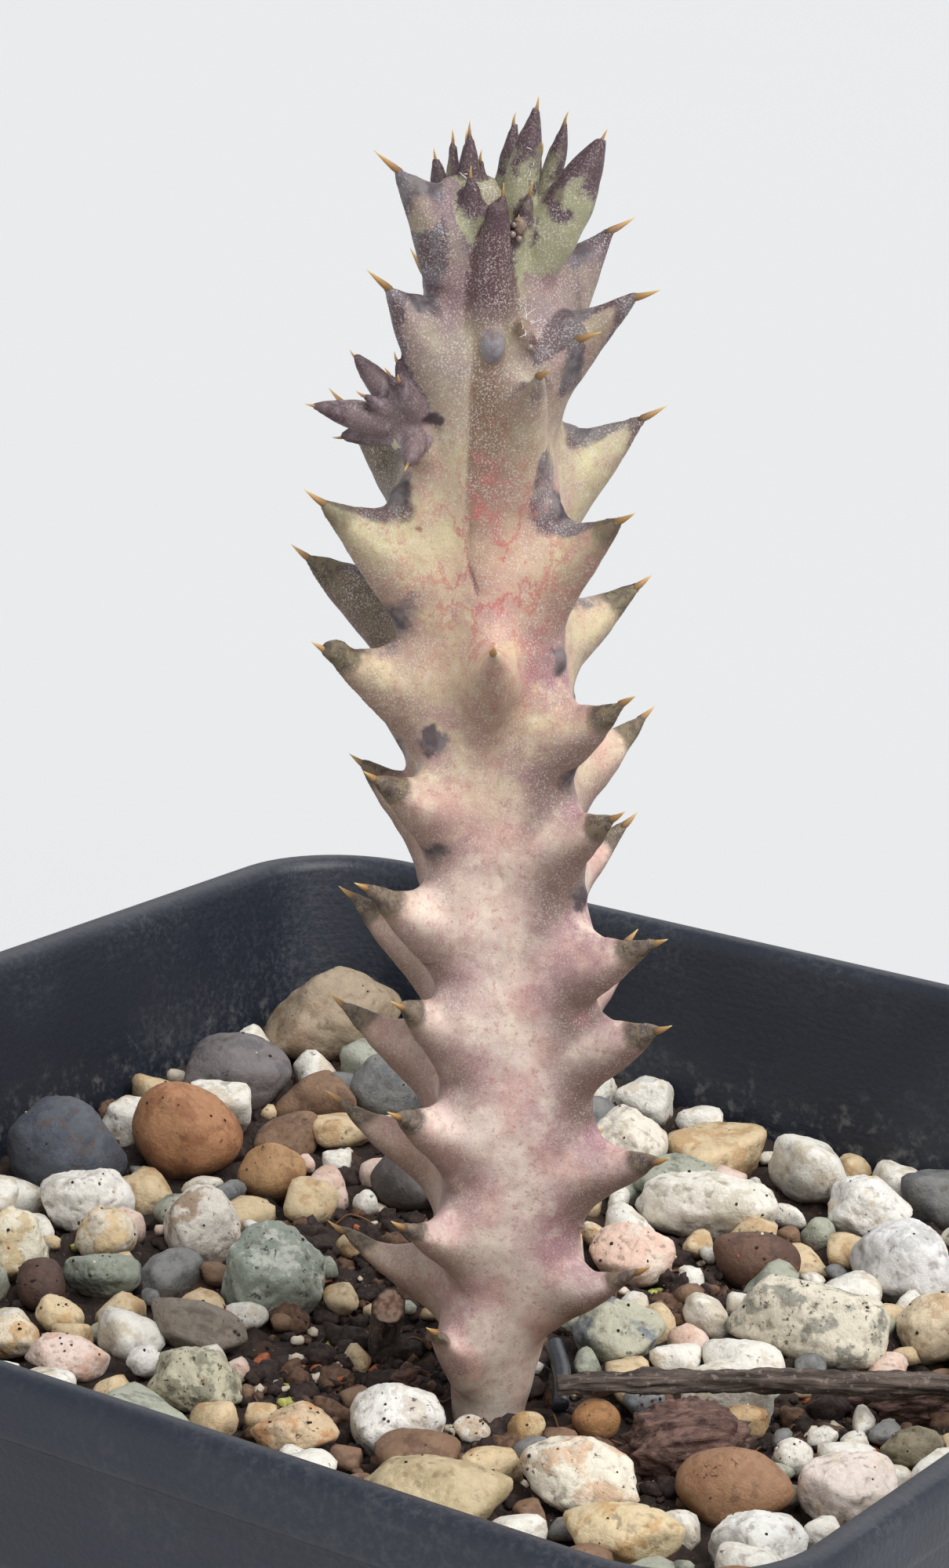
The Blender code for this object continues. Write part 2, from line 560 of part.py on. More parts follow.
def tooth(azimuth, height, reach, root=None):
    """A tubercle with a slanting underside, a hollow upper edge and a slender spine on its tip."""
    out = heading(azimuth)
    foot = core_point(height)
    body = between(CORE, height - 2.0)
    upright = max(0.0, min(1.0, (height - 38.0) / 20.0))
    span = root or 5.4 + 2.6 * upright
    over = 0.7 - 2.2 * upright
    dip = 0.75 * (1.0 - 0.6 * upright)
    flesh = reach - SPINE_LENGTH
    tip = SOIL_LEVEL + height - 0.45 - 0.25 * upright
    sections = [(0.8, tip - span * 0.5, span * 0.36, 1.8)]
    for along, thick in ((0.0, 2.3), (0.3, 1.75), (0.62, 1.15), (0.88, 0.72)):
        upper = tip + over * (1.0 - along) ** 2 - dip * 4.0 * along * (1.0 - along) * 0.55
        lower = tip - span * (1.0 - along) ** 1.15 - 0.42
        upper = max(upper, lower + 0.9) + 0.25 * along
        at = body * 0.78 + (flesh - body * 0.78) * along
        sections.append((at, (upper + lower) / 2, (upper - lower) / 2, thick))
    sections.append((flesh, tip + 0.05, SPINE_RADIUS * 1.1, SPINE_RADIUS))
    sections.append((reach, SOIL_LEVEL + height + 0.15, 0.0, 0.0))
    bm = bmesh.new()
    blade(bm, foot, out, sections)
    return add_object("tooth", bm, "stem")


def cone(foot, tip, radius):
    """A young tubercle: a plump cone that narrows to a soft spine."""
    path = [foot.lerp(tip, t) for t in (0.0, 0.35, 0.7, 0.88)]
    swell = [radius * k for k in (0.8, 1.0, 0.72, 0.34)]
    along = (tip - foot).normalized()
    side = along.orthogonal().normalized()
    rise = side.cross(along)
    rings = []
    for point, wide in zip(path, swell):
        ring = []
        for s in range(6):
            turn = 2 * math.pi * s / 6
            ring.append(point + (side * math.cos(turn) + rise * math.sin(turn)) * wide)
        rings.append(ring)
    bm = bmesh.new()
    skin(bm, rings + [[tip]])
    return add_object("cone", bm, "stem")


def make_stem():
    bm = bmesh.new()
    skin(bm, core_rings())
    stem = add_object("stem", bm, "stem")
    parts = [tooth(*row) for rows in (*RIDGES.values(), FACE_TEETH) for row in rows]
    for azimuth, start, lean, top, radius in CROWN:
        out = heading(azimuth)
        foot = core_point(59.5) + out * start * 0.7
        tip = core_point(top) + out * (start + lean)
        parts.append(cone(foot, tip, radius))
    seat = core_point(SHOOT_HEIGHT) + heading(SHOOT_AZIMUTH) * SHOOT_REACH
    parts.append(cone(core_point(SHOOT_HEIGHT - 2.5) + heading(SHOOT_AZIMUTH) * 2.0,
                      seat + heading(SHOOT_AZIMUTH) * 2.0 + Vector((0, 0, 1.2)), 2.1))
    for azimuth, rise, length, radius in SHOOT:
        up = math.radians(rise)
        tip = seat + (heading(azimuth) * math.cos(up) + Vector((0, 0, math.sin(up)))) * length
        parts.append(cone(seat - heading(SHOOT_AZIMUTH) * 0.8, tip, radius))
    apply_boolean(stem, parts, "UNION")
    return stem


clear_scene()
make_pot()
laid = lay_stones()
make_soil(laid, draw_grit(laid), core_rings(grow=GAP + 0.1, top=3.0))
make_stem()
for laid_stone in laid:
    pebble(laid_stone["name"], laid_stone)
rod("twig", TWIG, TWIG_RADII, "twig")
rod("twig_stub", STUB, STUB_RADII, "twig")
rod("plastic_sliver", SLIVER, SLIVER_RADII, "sliver", sides=4)
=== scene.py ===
"""A young potted edithcolea: a toothed succulent stem in a square nursery pot of gritty soil and gravel.

Sizes are in millimetres and are turned into metres as each mesh is built. The origin is the middle of the
pot's foot, and +Z is up. Azimuths are degrees round +Z, counted from the side that the photograph shows.
"""

import math
import random

import bmesh
import bpy
import numpy as np
from mathutils import Matrix, Vector, noise


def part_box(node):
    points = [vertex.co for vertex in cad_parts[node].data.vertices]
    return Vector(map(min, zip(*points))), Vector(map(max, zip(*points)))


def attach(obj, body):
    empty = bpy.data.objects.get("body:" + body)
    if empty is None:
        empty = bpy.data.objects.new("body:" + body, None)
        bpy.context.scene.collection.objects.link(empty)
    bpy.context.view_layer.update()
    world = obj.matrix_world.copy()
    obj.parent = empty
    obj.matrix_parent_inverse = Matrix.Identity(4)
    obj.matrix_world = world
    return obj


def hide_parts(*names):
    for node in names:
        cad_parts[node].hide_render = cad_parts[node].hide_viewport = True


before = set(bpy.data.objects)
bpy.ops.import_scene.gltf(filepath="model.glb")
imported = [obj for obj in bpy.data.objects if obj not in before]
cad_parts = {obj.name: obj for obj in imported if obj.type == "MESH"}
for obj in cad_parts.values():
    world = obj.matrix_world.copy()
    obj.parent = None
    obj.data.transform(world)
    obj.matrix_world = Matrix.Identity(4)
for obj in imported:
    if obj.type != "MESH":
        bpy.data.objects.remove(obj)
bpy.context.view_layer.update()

MM = 0.001


# Floor, camera and light
# The plant stands on a plain pale table in soft daylight. The camera looks at one corner of the pot, a
# little from above, with a long lens.

CAMERA_PLACE = Vector((113.45, -170.738, 148.024))
CAMERA_TURN, CAMERA_PITCH, CAMERA_ROLL = 33.86, 14.85, 2.19
CAMERA_LENS, CAMERA_NEAR = 95.8, 0.01
TABLE_REACH = 6000.0
TABLE_COLOUR, TABLE_SHADE = (0.575, 0.582, 0.59), 0.985
HORIZON, HORIZON_RISE = (0.83, 0.84, 0.85), 0.14
SKY, SKY_RISE = (0.35, 0.365, 0.385), 0.4
VIEW_AZIMUTH = 34.0

eye = bpy.data.cameras.new("camera")
eye.lens = CAMERA_LENS
eye.clip_start = CAMERA_NEAR
camera = bpy.data.objects.new("camera", eye)
camera.matrix_world = (
    Matrix.Translation(CAMERA_PLACE * MM)
    @ Matrix.Rotation(math.radians(CAMERA_TURN), 4, "Z")
    @ Matrix.Rotation(math.radians(90.0 - CAMERA_PITCH), 4, "X")
    @ Matrix.Rotation(math.radians(CAMERA_ROLL), 4, "Z")
)
bpy.context.scene.collection.objects.link(camera)
bpy.context.scene.camera = camera
bpy.context.scene.view_settings.view_transform = "Standard"


class Shade:
    """A socket in a tree of nodes. Arithmetic written with it adds the nodes that work it out."""

    def __init__(self, nodes, socket):
        self.nodes = nodes
        self.socket = socket

    def maths(self, operation, *values):
        return self.nodes.node("Math", {"operation": operation}, dict(enumerate(values)))

    def __add__(self, other):
        return self.maths("ADD", self, other)

    def __sub__(self, other):
        return self.maths("SUBTRACT", self, other)

    def __rsub__(self, other):
        return self.maths("SUBTRACT", other, self)

    def __mul__(self, other):
        return self.maths("MULTIPLY", self, other)

    def __truediv__(self, other):
        return self.maths("DIVIDE", self, other)

    def __rtruediv__(self, other):
        return self.maths("DIVIDE", other, self)

    def __gt__(self, other):
        return self.maths("GREATER_THAN", self, other)

    def __lt__(self, other):
        return self.maths("LESS_THAN", self, other)

    def larger(self, other):
        return self.maths("MAXIMUM", self, other)

    def rise(self, low, high):
        """0 below low, 1 above high, and a smooth step between them."""
        return self.nodes.node("MapRange", {"interpolation_type": "SMOOTHSTEP"},
                               {"Value": self, "From Min": low, "From Max": high})

    __radd__ = __add__
    __rmul__ = __mul__


class Nodes:
    """The tree of nodes of a material or of the sky. Every node is added by node()."""

    def __init__(self, owner):
        owner.use_nodes = True
        self.tree = owner.node_tree

    def feed(self, socket, value):
        if isinstance(value, Shade):
            self.tree.links.new(value.socket, socket)
        elif socket.type == "RGBA":
            socket.default_value = (*value, 1.0)
        else:
            socket.default_value = value

    def node(self, kind, settings=None, sockets=None, output=0):
        made = self.tree.nodes.new("ShaderNode" + kind)
        for name, value in (settings or {}).items():
            if name == "stops":
                for number, (at, colour) in enumerate(value):
                    if number > 1:
                        made.color_ramp.elements.new(at)
                    made.color_ramp.elements[number].position = at
                    made.color_ramp.elements[number].color = (*colour, 1.0)
            else:
                setattr(made, name, value)
        for name, value in (sockets or {}).items():
            self.feed(made.inputs[name], value)
        return Shade(self, made.outputs[output])


class Finish(Nodes):
    """A material in the making. What is the same all over it is set on its shader's own sockets."""

    def __init__(self, name, **constants):
        self.material = bpy.data.materials.new(name)
        super().__init__(self.material)
        self.shader = self.tree.nodes["Principled BSDF"]
        for socket, value in constants.items():
            self.feed(self.shader.inputs[socket.replace("_", " ")], value)
        spot = self.node("TexCoord", output="Object")
        self.place = self.node("VectorMath", {"operation": "SCALE"}, {0: spot, "Scale": 1.0 / MM})

    def noise(self, scale, detail=2.0, place=None, roughness=0.5):
        return self.node("TexNoise", None, {"Vector": place or self.place, "Scale": scale, "Detail": detail,
                                            "Roughness": roughness})

    def cells(self, scale):
        return self.node("TexVoronoi", None, {"Vector": self.place, "Scale": scale}, output="Distance")

    def stretched(self, x, y, z):
        return self.node("VectorMath", {"operation": "MULTIPLY"}, {0: self.place, 1: (x, y, z)})

    def moved(self, offset):
        return self.node("VectorMath", {"operation": "ADD"}, {0: self.place, 1: offset})

    def mark(self, name):
        return self.node("Attribute", {"attribute_name": name}, output="Fac")

    def height(self):
        return self.node("SeparateXYZ", None, {0: self.place}, output="Z")

    def mix(self, factor, low, high):
        return self.node("Mix", {"data_type": "RGBA"}, {0: factor, 6: low, 7: high}, output=2)

    def dress(self, colour, roughness=None, relief=None, depth=0.05):
        """Link what changes over the surface. The relief is worth depth millimetres from 0 to 1."""
        self.feed(self.shader.inputs["Base Color"], colour)
        if roughness is not None:
            self.feed(self.shader.inputs["Roughness"], roughness)
        if relief is not None:
            bump = self.node("Bump", None, {"Height": relief, "Distance": depth * MM}, output="Normal")
            self.feed(self.shader.inputs["Normal"], bump)
        return self.material


def paint(red, green, blue):
    """A colour given as the 0 to 255 values that it has on a screen."""
    return tuple(c / 255 / 12.92 if c < 11 else ((c / 255 + 0.055) / 1.055) ** 2.4
                 for c in (red, green, blue))


def build(name, points, faces, material, marks=None):
    """Make an object from points in millimetres, its faces and its per-point marks.

    A face of four whose last two points are the same is a triangle.
    """
    mesh = bpy.data.meshes.new(name)
    faces = [face if len(face) < 4 or face[2] != face[3] else face[:3] for face in map(list, faces)]
    mesh.from_pydata((np.asarray(points, dtype=float) * MM).tolist(), [], faces)
    mesh.shade_smooth()
    for mark, values in (marks or {}).items():
        layer = mesh.attributes.new(mark, "FLOAT", "POINT")
        layer.data.foreach_set("value", np.asarray(values, dtype=np.float32))
    mesh.materials.append(material)
    made = bpy.data.objects.new(name, mesh)
    bpy.context.scene.collection.objects.link(made)
    return made


def fit(piece, slot, *nodes):
    """The piece rides on the pot's body and stands for the given nodes, which are hidden. The slot is not
    used.
    """
    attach(piece, "root")
    if nodes:
        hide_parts(*nodes)


table_finish = Finish("pale_table", Roughness=0.9)
table_grain = table_finish.noise(0.004, 3.0)
table_shaded = [c * TABLE_SHADE for c in TABLE_COLOUR]
table_skin = table_finish.dress(table_finish.mix(table_grain, TABLE_COLOUR, table_shaded))
table_corners = [(x * TABLE_REACH, y * TABLE_REACH, 0.0) for x, y in ((-1, -1), (1, -1), (1, 1), (-1, 1))]
table_top = build("table", table_corners, [(0, 1, 2, 3)], table_skin)

world = bpy.data.worlds.new("daylight")
bpy.context.scene.world = world
sky = Nodes(world)
sky_height = sky.node("SeparateXYZ", None, {0: sky.node("TexCoord", output="Generated")}, output="Z")
sky_light = sky.node("ValToRGB", {"stops": [(HORIZON_RISE, HORIZON), (SKY_RISE, SKY)]}, {0: sky_height})
sky.feed(sky.tree.nodes["Background"].inputs["Color"], sky_light)

# Broad soft lights: azimuth from the photographed side, height angle, how wide each looks, strength and
# colour.
SOFT_LIGHTS = {
    "key": (46, 53, 55, 3.1, (1.0, 0.99, 0.975)),
    "fill": (-14, 38, 90, 0.55, (0.96, 0.98, 1.0)),
    "back": (160, 44, 50, 0.6, (1.0, 0.99, 0.97)),
}


def heading(azimuth):
    """Level direction of an azimuth that is counted from the photographed side."""
    turn = math.radians(VIEW_AZIMUTH + azimuth)
    return Vector((math.sin(turn), -math.cos(turn), 0.0))


for lamp_name, (azimuth, rise, width, strength, colour) in SOFT_LIGHTS.items():
    lamp = bpy.data.lights.new(lamp_name, "SUN")
    lamp.angle = math.radians(width)
    lamp.energy = strength
    lamp.color = colour
    lamp_object = bpy.data.objects.new(lamp_name, lamp)
    rise = math.radians(rise)
    towards = heading(azimuth) * math.cos(rise) + Vector((0, 0, math.sin(rise)))
    lamp_object.rotation_mode = "QUATERNION"
    lamp_object.rotation_quaternion = towards.to_track_quat("Z", "Y")
    bpy.context.scene.collection.objects.link(lamp_object)


# Pot
# A thin square nursery pot of blue-black polypropylene, moulded in one piece, with a collar, a rolled lip,
# a foot ring and five drain holes. It is a little dusty, and lime from the water has dried on its inner
# wall.

LIP_HALF = 40.0
POT_TOP = 75.0
FOOT_HALF, FOOT_CORNER, FOOT_DEPTH = 28.0, 5.0, 1.5
FLOOR_TOP = 3.0
WALL = 1.2
SIDE_BOW = 0.16
COLLAR_HALF, COLLAR_BOTTOM = 39.1, 64.6
LIP_WIDTH, LIP_DROP, LIP_CORNER, LIP_BOTTOM = 2.0, 1.2, 8.0, 71.8
DRAIN_RADIUS, DRAIN_OFFSET, DRAIN_SIDES = 4.0, 14.0, 48
CORNERS = ((1, 1), (-1, 1), (-1, -1), (1, -1))
CORNER_STEPS, SIDE_STEPS = 14, 10
EDGE_ROUNDING, EDGE_SHARE = 0.3, 0.33
SHARP_ANGLE = 32.0
SOIL_LEVEL = 62.5


def tapered(low, high, z):
    """A size of the inner wall, which changes evenly from the pot's floor to its lip."""
    return low + (high - low) * (z - FLOOR_TOP) / (POT_TOP - LIP_DROP - FLOOR_TOP)


def inner_half(z):
    """Half width of the pot's inner wall."""
    return tapered(FOOT_HALF - WALL, LIP_HALF - LIP_WIDTH, z)


def inner_corner(z):
    """Radius of the inner wall's corners."""
    return tapered(FOOT_CORNER - WALL, LIP_CORNER - LIP_WIDTH, z)


def corner_spot(half, corner, quarter, turn):
    """A point on one of the four round corners of a square."""
    side_x, side_y = CORNERS[quarter % 4]
    return (side_x * (half - corner) + corner * math.cos(turn),
            side_y * (half - corner) + corner * math.sin(turn))


def rounded_square(half, corner, z):
    """Points round a square with round corners. Its sides bow in by a hair, as thin walls do."""
    points = []
    for quarter in range(4):
        for step in range(CORNER_STEPS + 1):
            turn = math.radians(90.0 * (quarter + step / CORNER_STEPS))
            points.append((*corner_spot(half, corner, quarter, turn), z))
        end_x, end_y, _ = points[-1]
        turn = math.radians(90.0 * (quarter + 1))
        next_x, next_y = corner_spot(half, corner, quarter + 1, turn)
        for step in range(1, SIDE_STEPS):
            along = step / SIDE_STEPS
            bow = -SIDE_BOW * math.sin(math.pi * along) * (z / POT_TOP)
            points.append((end_x + (next_x - end_x) * along + bow * math.cos(turn),
                           end_y + (next_y - end_y) * along + bow * math.sin(turn), z))
    return points


def soften(outline):
    """Round each corner of an outline a little."""
    rounded = [outline[0]]
    for before, at, after in zip(outline, outline[1:], outline[2:]):
        before, at, after = Vector(before), Vector(at), Vector(after)
        cut_in = (before - at).normalized() * min(EDGE_ROUNDING, EDGE_SHARE * (before - at).length)
        cut_out = (after - at).normalized() * min(EDGE_ROUNDING, EDGE_SHARE * (after - at).length)
        rounded += [tuple(at + cut_in), tuple(at + (cut_in + cut_out) * 0.25), tuple(at + cut_out)]
    return rounded + [outline[-1]]


def skin(bm, rings):
    """Join rings of equal length into a skin that is closed at both ends."""
    rows = [[bm.verts.new(point) for point in ring] for ring in rings]
    for low, high in zip(rows, rows[1:]):
        for i in range(len(low)):
            j = (i + 1) % len(low)
            bm.faces.new((low[i], low[j], high[j], high[i]))
    bm.faces.new(rows[0][::-1])
    bm.faces.new(rows[-1])


pot_outline = soften([
    (FOOT_HALF - 2.6, FOOT_CORNER - 2.4, FOOT_DEPTH), (FOOT_HALF - 2.1, FOOT_CORNER - 2.0, 0.3),
    (FOOT_HALF - 1.8, FOOT_CORNER - 1.8, 0.0), (FOOT_HALF - 0.4, FOOT_CORNER - 0.4, 0.0),
    (FOOT_HALF, FOOT_CORNER, 0.5),
    (inner_half(COLLAR_BOTTOM) + WALL, inner_corner(COLLAR_BOTTOM) + WALL, COLLAR_BOTTOM),
    (COLLAR_HALF - 0.3, LIP_CORNER - 1.1, COLLAR_BOTTOM + 0.2),
    (COLLAR_HALF, LIP_CORNER - 0.9, COLLAR_BOTTOM + 0.7),
    (COLLAR_HALF + 0.1, LIP_CORNER - 0.8, LIP_BOTTOM - 0.3), (LIP_HALF - 0.1, LIP_CORNER - 0.1, LIP_BOTTOM),
    (LIP_HALF, LIP_CORNER, LIP_BOTTOM + 0.5), (LIP_HALF, LIP_CORNER, POT_TOP - 0.8),
    (LIP_HALF - 0.3, LIP_CORNER - 0.3, POT_TOP - 0.2), (LIP_HALF - 0.8, LIP_CORNER - 0.8, POT_TOP),
    (LIP_HALF - 1.4, LIP_CORNER - 1.4, POT_TOP - 0.1), (LIP_HALF - 1.85, LIP_CORNER - 1.85, POT_TOP - 0.5),
    (inner_half(POT_TOP - LIP_DROP), inner_corner(POT_TOP - LIP_DROP), POT_TOP - LIP_DROP),
    (inner_half(SOIL_LEVEL), inner_corner(SOIL_LEVEL), SOIL_LEVEL),
    (inner_half(FLOOR_TOP + 0.4), inner_corner(FLOOR_TOP + 0.4), FLOOR_TOP + 0.4),
    (inner_half(FLOOR_TOP) - 0.4, inner_corner(FLOOR_TOP) - 0.4, FLOOR_TOP),
])
pot_bm = bmesh.new()
skin(pot_bm, [rounded_square(*row) for row in pot_outline])
bmesh.ops.recalc_face_normals(pot_bm, faces=pot_bm.faces)
bmesh.ops.scale(pot_bm, vec=(MM, MM, MM), verts=pot_bm.verts)
pot_mesh = bpy.data.meshes.new("nursery_pot")
pot_bm.to_mesh(pot_mesh)
pot_bm.free()
nursery_pot = bpy.data.objects.new("nursery_pot", pot_mesh)
bpy.context.scene.collection.objects.link(nursery_pot)

drill_bm = bmesh.new()
for x, y in ((0, 0), *CORNERS):
    middle = Matrix.Translation(Vector((x * DRAIN_OFFSET, y * DRAIN_OFFSET, FLOOR_TOP / 2)) * MM)
    bmesh.ops.create_cone(drill_bm, cap_ends=True, segments=DRAIN_SIDES, radius1=DRAIN_RADIUS * MM,
                          radius2=DRAIN_RADIUS * MM, depth=FLOOR_TOP * 2 * MM, matrix=middle)
drill_mesh = bpy.data.meshes.new("drills")
drill_bm.to_mesh(drill_mesh)
drill_bm.free()
drills = bpy.data.objects.new("drills", drill_mesh)
bpy.context.scene.collection.objects.link(drills)
holes = nursery_pot.modifiers.new("drain_holes", "BOOLEAN")
holes.operation = "DIFFERENCE"
holes.solver = "EXACT"
holes.object = drills
graph = bpy.context.evaluated_depsgraph_get()
pot_mesh = bpy.data.meshes.new_from_object(nursery_pot.evaluated_get(graph), depsgraph=graph)
nursery_pot.modifiers.clear()
nursery_pot.data = pot_mesh
bpy.data.objects.remove(drills, do_unlink=True)
pot_mesh.shade_smooth()
pot_mesh.set_sharp_from_angle(angle=math.radians(SHARP_ANGLE))
inside = []
for corner in pot_mesh.vertices:
    faces_axis = corner.normal.x * corner.co.x + corner.normal.y * corner.co.y < 0.0
    inside.append(float(faces_axis and corner.co.z > FLOOR_TOP * MM))
pot_mesh.attributes.new("inside", "FLOAT", "POINT").data.foreach_set("value", inside)

pot_finish = Finish("blue_black_plastic", Specular_IOR_Level=0.5)
cloud = pot_finish.noise(0.11, 4.0)
scuffs = pot_finish.noise(1.0, 3.0, pot_finish.stretched(0.35, 0.35, 2.6))
dust_grain = pot_finish.noise(2.4, 4.0, roughness=0.7)
dust = cloud.rise(0.4, 0.75) * dust_grain.rise(0.42, 0.7)
lime_height = pot_finish.height() + pot_finish.noise(0.3, 3.0) * 5.0
lime_band = lime_height.rise(63.5, 66.0) * (1.0 - lime_height.rise(67.0, 71.5)) * pot_finish.mark("inside")
lime = lime_band * pot_finish.noise(0.9, 5.0, roughness=0.7).rise(0.5, 0.68)
plastic = pot_finish.mix(cloud, paint(24, 28, 38), paint(35, 41, 54))
plastic = pot_finish.mix(dust * 0.35, plastic, paint(104, 104, 104))
plastic = pot_finish.mix(lime * 0.3, plastic, paint(150, 148, 142))
pot_mesh.materials.clear()
pot_mesh.materials.append(pot_finish.dress(
    plastic, roughness=scuffs * 0.12 + dust * 0.2 + lime * 0.2 + 0.36,
    relief=pot_finish.noise(3.2, 2.0) + scuffs * 0.6, depth=0.035))
fit(nursery_pot, "pot", "pot")


# Soil
# Dark damp peat with bark crumb, which fills the pot to about a sixth of its height below the lip. It is
# heaped towards the back left and lies rough and crumbly between the stones.

SOIL_BOTTOM = 3.4
SOIL_CELLS = 180
SOIL_TUCK, SOIL_STRAIGHT = 0.1, 0.84
HEAP_RISE, HEAP_REACH, HEAP_CURVE = 3.0, 48.0, 1.5
CLOD_HEIGHT, CRUMB_HEIGHT = 0.55, 0.7
STEM_X, STEM_Y = 4.3, -4.6


def ground(x, y):
    """Height of the soil, heaped towards the back left and gently uneven."""
    back = -heading(0.0)
    away = (x - STEM_X) * back.x + (y - STEM_Y) * back.y
    heap = HEAP_RISE * max(0.0, min(1.0, away / HEAP_REACH)) ** HEAP_CURVE
    uneven = 0.3 * math.sin(0.31 * x + 1.3) * math.cos(0.27 * y - 0.4)
    return SOIL_LEVEL + heap + uneven


def crumbly(x, y):
    """Height of the soil with its clods and crumbs."""
    clods = CLOD_HEIGHT * noise.noise(Vector((x * 0.4, y * 0.4, 3.0)))
    crumb = noise.turbulence(Vector((x * 0.9, y * 0.9, 7.0)), 3, False)
    return ground(x, y) + clods + CRUMB_HEIGHT * (crumb - 0.5) - 0.25


def soil_spot(u, v, z):
    """A point of the unit square laid onto the pot's rounded square at height z, just into the wall."""
    half, corner = inner_half(z) + SOIL_TUCK, inner_corner(z)
    spot, over = [], []
    for w in (u, v):
        over.append(max(0.0, abs(w) - SOIL_STRAIGHT) / (1.0 - SOIL_STRAIGHT))
        spot.append(min(abs(w), SOIL_STRAIGHT) / SOIL_STRAIGHT * (half - corner))
    reach = math.hypot(*over)
    shrink = max(over) / reach if reach else 1.0
    return (math.copysign(spot[0] + corner * over[0] * shrink, u),
            math.copysign(spot[1] + corner * over[1] * shrink, v), z)


soil_points = []
for j in range(SOIL_CELLS + 1):
    for i in range(SOIL_CELLS + 1):
        u, v = 2.0 * i / SOIL_CELLS - 1.0, 2.0 * j / SOIL_CELLS - 1.0
        x, y, z = soil_spot(u, v, SOIL_LEVEL)
        soil_points.append(soil_spot(u, v, crumbly(x, y)))
n = SOIL_CELLS
row = n + 1
soil_faces = [(j * row + i, j * row + i + 1, (j + 1) * row + i + 1, (j + 1) * row + i)
              for j in range(n) for i in range(n)]
soil_edge = [(i, 0) for i in range(n)] + [(n, j) for j in range(n)]
soil_edge += [(n - i, n) for i in range(n)] + [(0, n - j) for j in range(n)]
first_low = len(soil_points)
soil_points += [soil_spot(2.0 * i / n - 1.0, 2.0 * j / n - 1.0, SOIL_BOTTOM) for i, j in soil_edge]
middle_low = len(soil_points)
soil_points.append((0.0, 0.0, SOIL_BOTTOM))
for k, (i, j) in enumerate(soil_edge):
    ni, nj = soil_edge[(k + 1) % len(soil_edge)]
    low, next_low = first_low + k, first_low + (k + 1) % len(soil_edge)
    soil_faces.append((j * row + i, low, next_low, nj * row + ni))
    soil_faces.append((low, middle_low, next_low, next_low))

soil_finish = Finish("dark_peat", Specular_IOR_Level=0.35)
peat_grain = soil_finish.noise(1.6, 6.0, roughness=0.72)
peat_clods = soil_finish.cells(0.9)
peat = soil_finish.mix(peat_grain.rise(0.3, 0.7), paint(32, 26, 25), paint(68, 55, 49))
peat = soil_finish.mix(soil_finish.noise(0.5, 3.0).rise(0.55, 0.72), peat, paint(84, 62, 50))
peat = soil_finish.mix((soil_finish.noise(5.0, 2.0) > 0.69) * 0.6, peat, paint(150, 128, 104))
peat_skin = soil_finish.dress(peat, roughness=0.72 + peat_grain * 0.25,
                              relief=peat_grain + peat_clods * 0.5, depth=0.22)
peat_soil = build("peat_soil", soil_points, soil_faces, peat_skin)
fit(peat_soil, "soil", "soil")


# Stem
# One living piece: a four-ribbed fleshy stem whose ribs carry horny-tipped teeth, with a tuft of young
# tubercles at the top and a small side shoot. It is modelled as one solid that its parts melt into, and
# meshed finely.

STEM_TOP = 60.2
SPINE_LENGTH = 1.1
STEM_CELL, STEM_MARGIN = 0.2, 1.0

# How far the stem leans to the left by a height, and how far and how quickly it sways.
LEAN, LEAN_HEIGHT = 1.4, 65.0
SWAY, SWAY_LENGTH = 1.1, 66.0

# Radius of the stem between its teeth, at heights above the soil.
CORE = [(-5.2, 1.5), (-2.5, 1.75), (0.0, 1.9), (3.0, 2.3), (6.0, 3.0), (10.0, 3.7), (16.0, 4.1),
        (24.0, 4.2), (32.0, 4.15), (40.0, 4.15), (47.0, 4.0), (52.0, 3.4), (57.0, 2.6), (59.6, 1.8),
        (60.2, 1.2)]

# Teeth of each rib, from the ground up: azimuth, height and reach of the spine's end, and for some how deep
# their root is.
RIDGES = {
    "left_back": [(-108, 8.5, 9.7), (-105, 15.6, 10.0), (-112, 20.3, 10.2), (-110, 26.4, 9.2),
                  (-114, 33.2, 8.2), (-126, 38.0, 8.8), (-113, 43.6, 10.4), (-120, 51.4, 8.8),
                  (-142, 58.2, 6.6)],
    "left_front": [(-42, 5.6, 5.6), (-42, 12.1, 8.9), (-43, 17.9, 9.2), (-43, 23.4, 8.7),
                   (-50, 29.3, 9.5), (-47, 34.6, 8.7), (-62, 40.6, 9.5), (-65, 47.9, 9.3),
                   (-52, 58.6, 7.5), (-65, 63.9, 6.8)],
    "right_front": [(55, 9.6, 8.6), (52, 15.8, 9.6), (52, 22.6, 9.7), (52, 27.0, 9.7), (46, 33.1, 8.4),
                    (50, 38.8, 9.1), (52, 47.6, 9.2), (56, 55.9, 6.4, 4.6), (74, 57.9, 8.3, 4.8)],
    "right_back": [(150, 6.5, 8.3), (149, 12.4, 9.2), (148, 18.4, 9.0), (138, 23.4, 9.6),
                   (130, 30.0, 8.8), (124, 35.6, 9.7), (122, 42.4, 9.8), (106, 51.4, 9.3),
                   (116, 60.4, 7.4)],
}
FACE_TEETH = [(3, 41.6, 8.4), (23, 54.6, 7.6), (178, 46.8, 9.0), (-172, 53.6, 8.6), (176, 60.6, 6.2)]

# Half width in degrees of a rib, and the low ribs that carry the teeth on the front and back faces.
RIB_SPREAD = 24.0
FACE_RIBS, FACE_RIB_SPREAD, FACE_RIB_SHARE = (5.0, 178.0), 20.0, 0.6

# The tooth of the left front rib whose tip has a thick crusty cap.
CAPPED_TOOTH = (-62, 40.6)

# A blunt young tooth like a finger that stands against the stem under its tip: azimuth, heights and radius.
FINGER_AZIMUTH, FINGER_FOOT, FINGER_TOP, FINGER_RADIUS = -2, 52.5, 62.0, 1.05

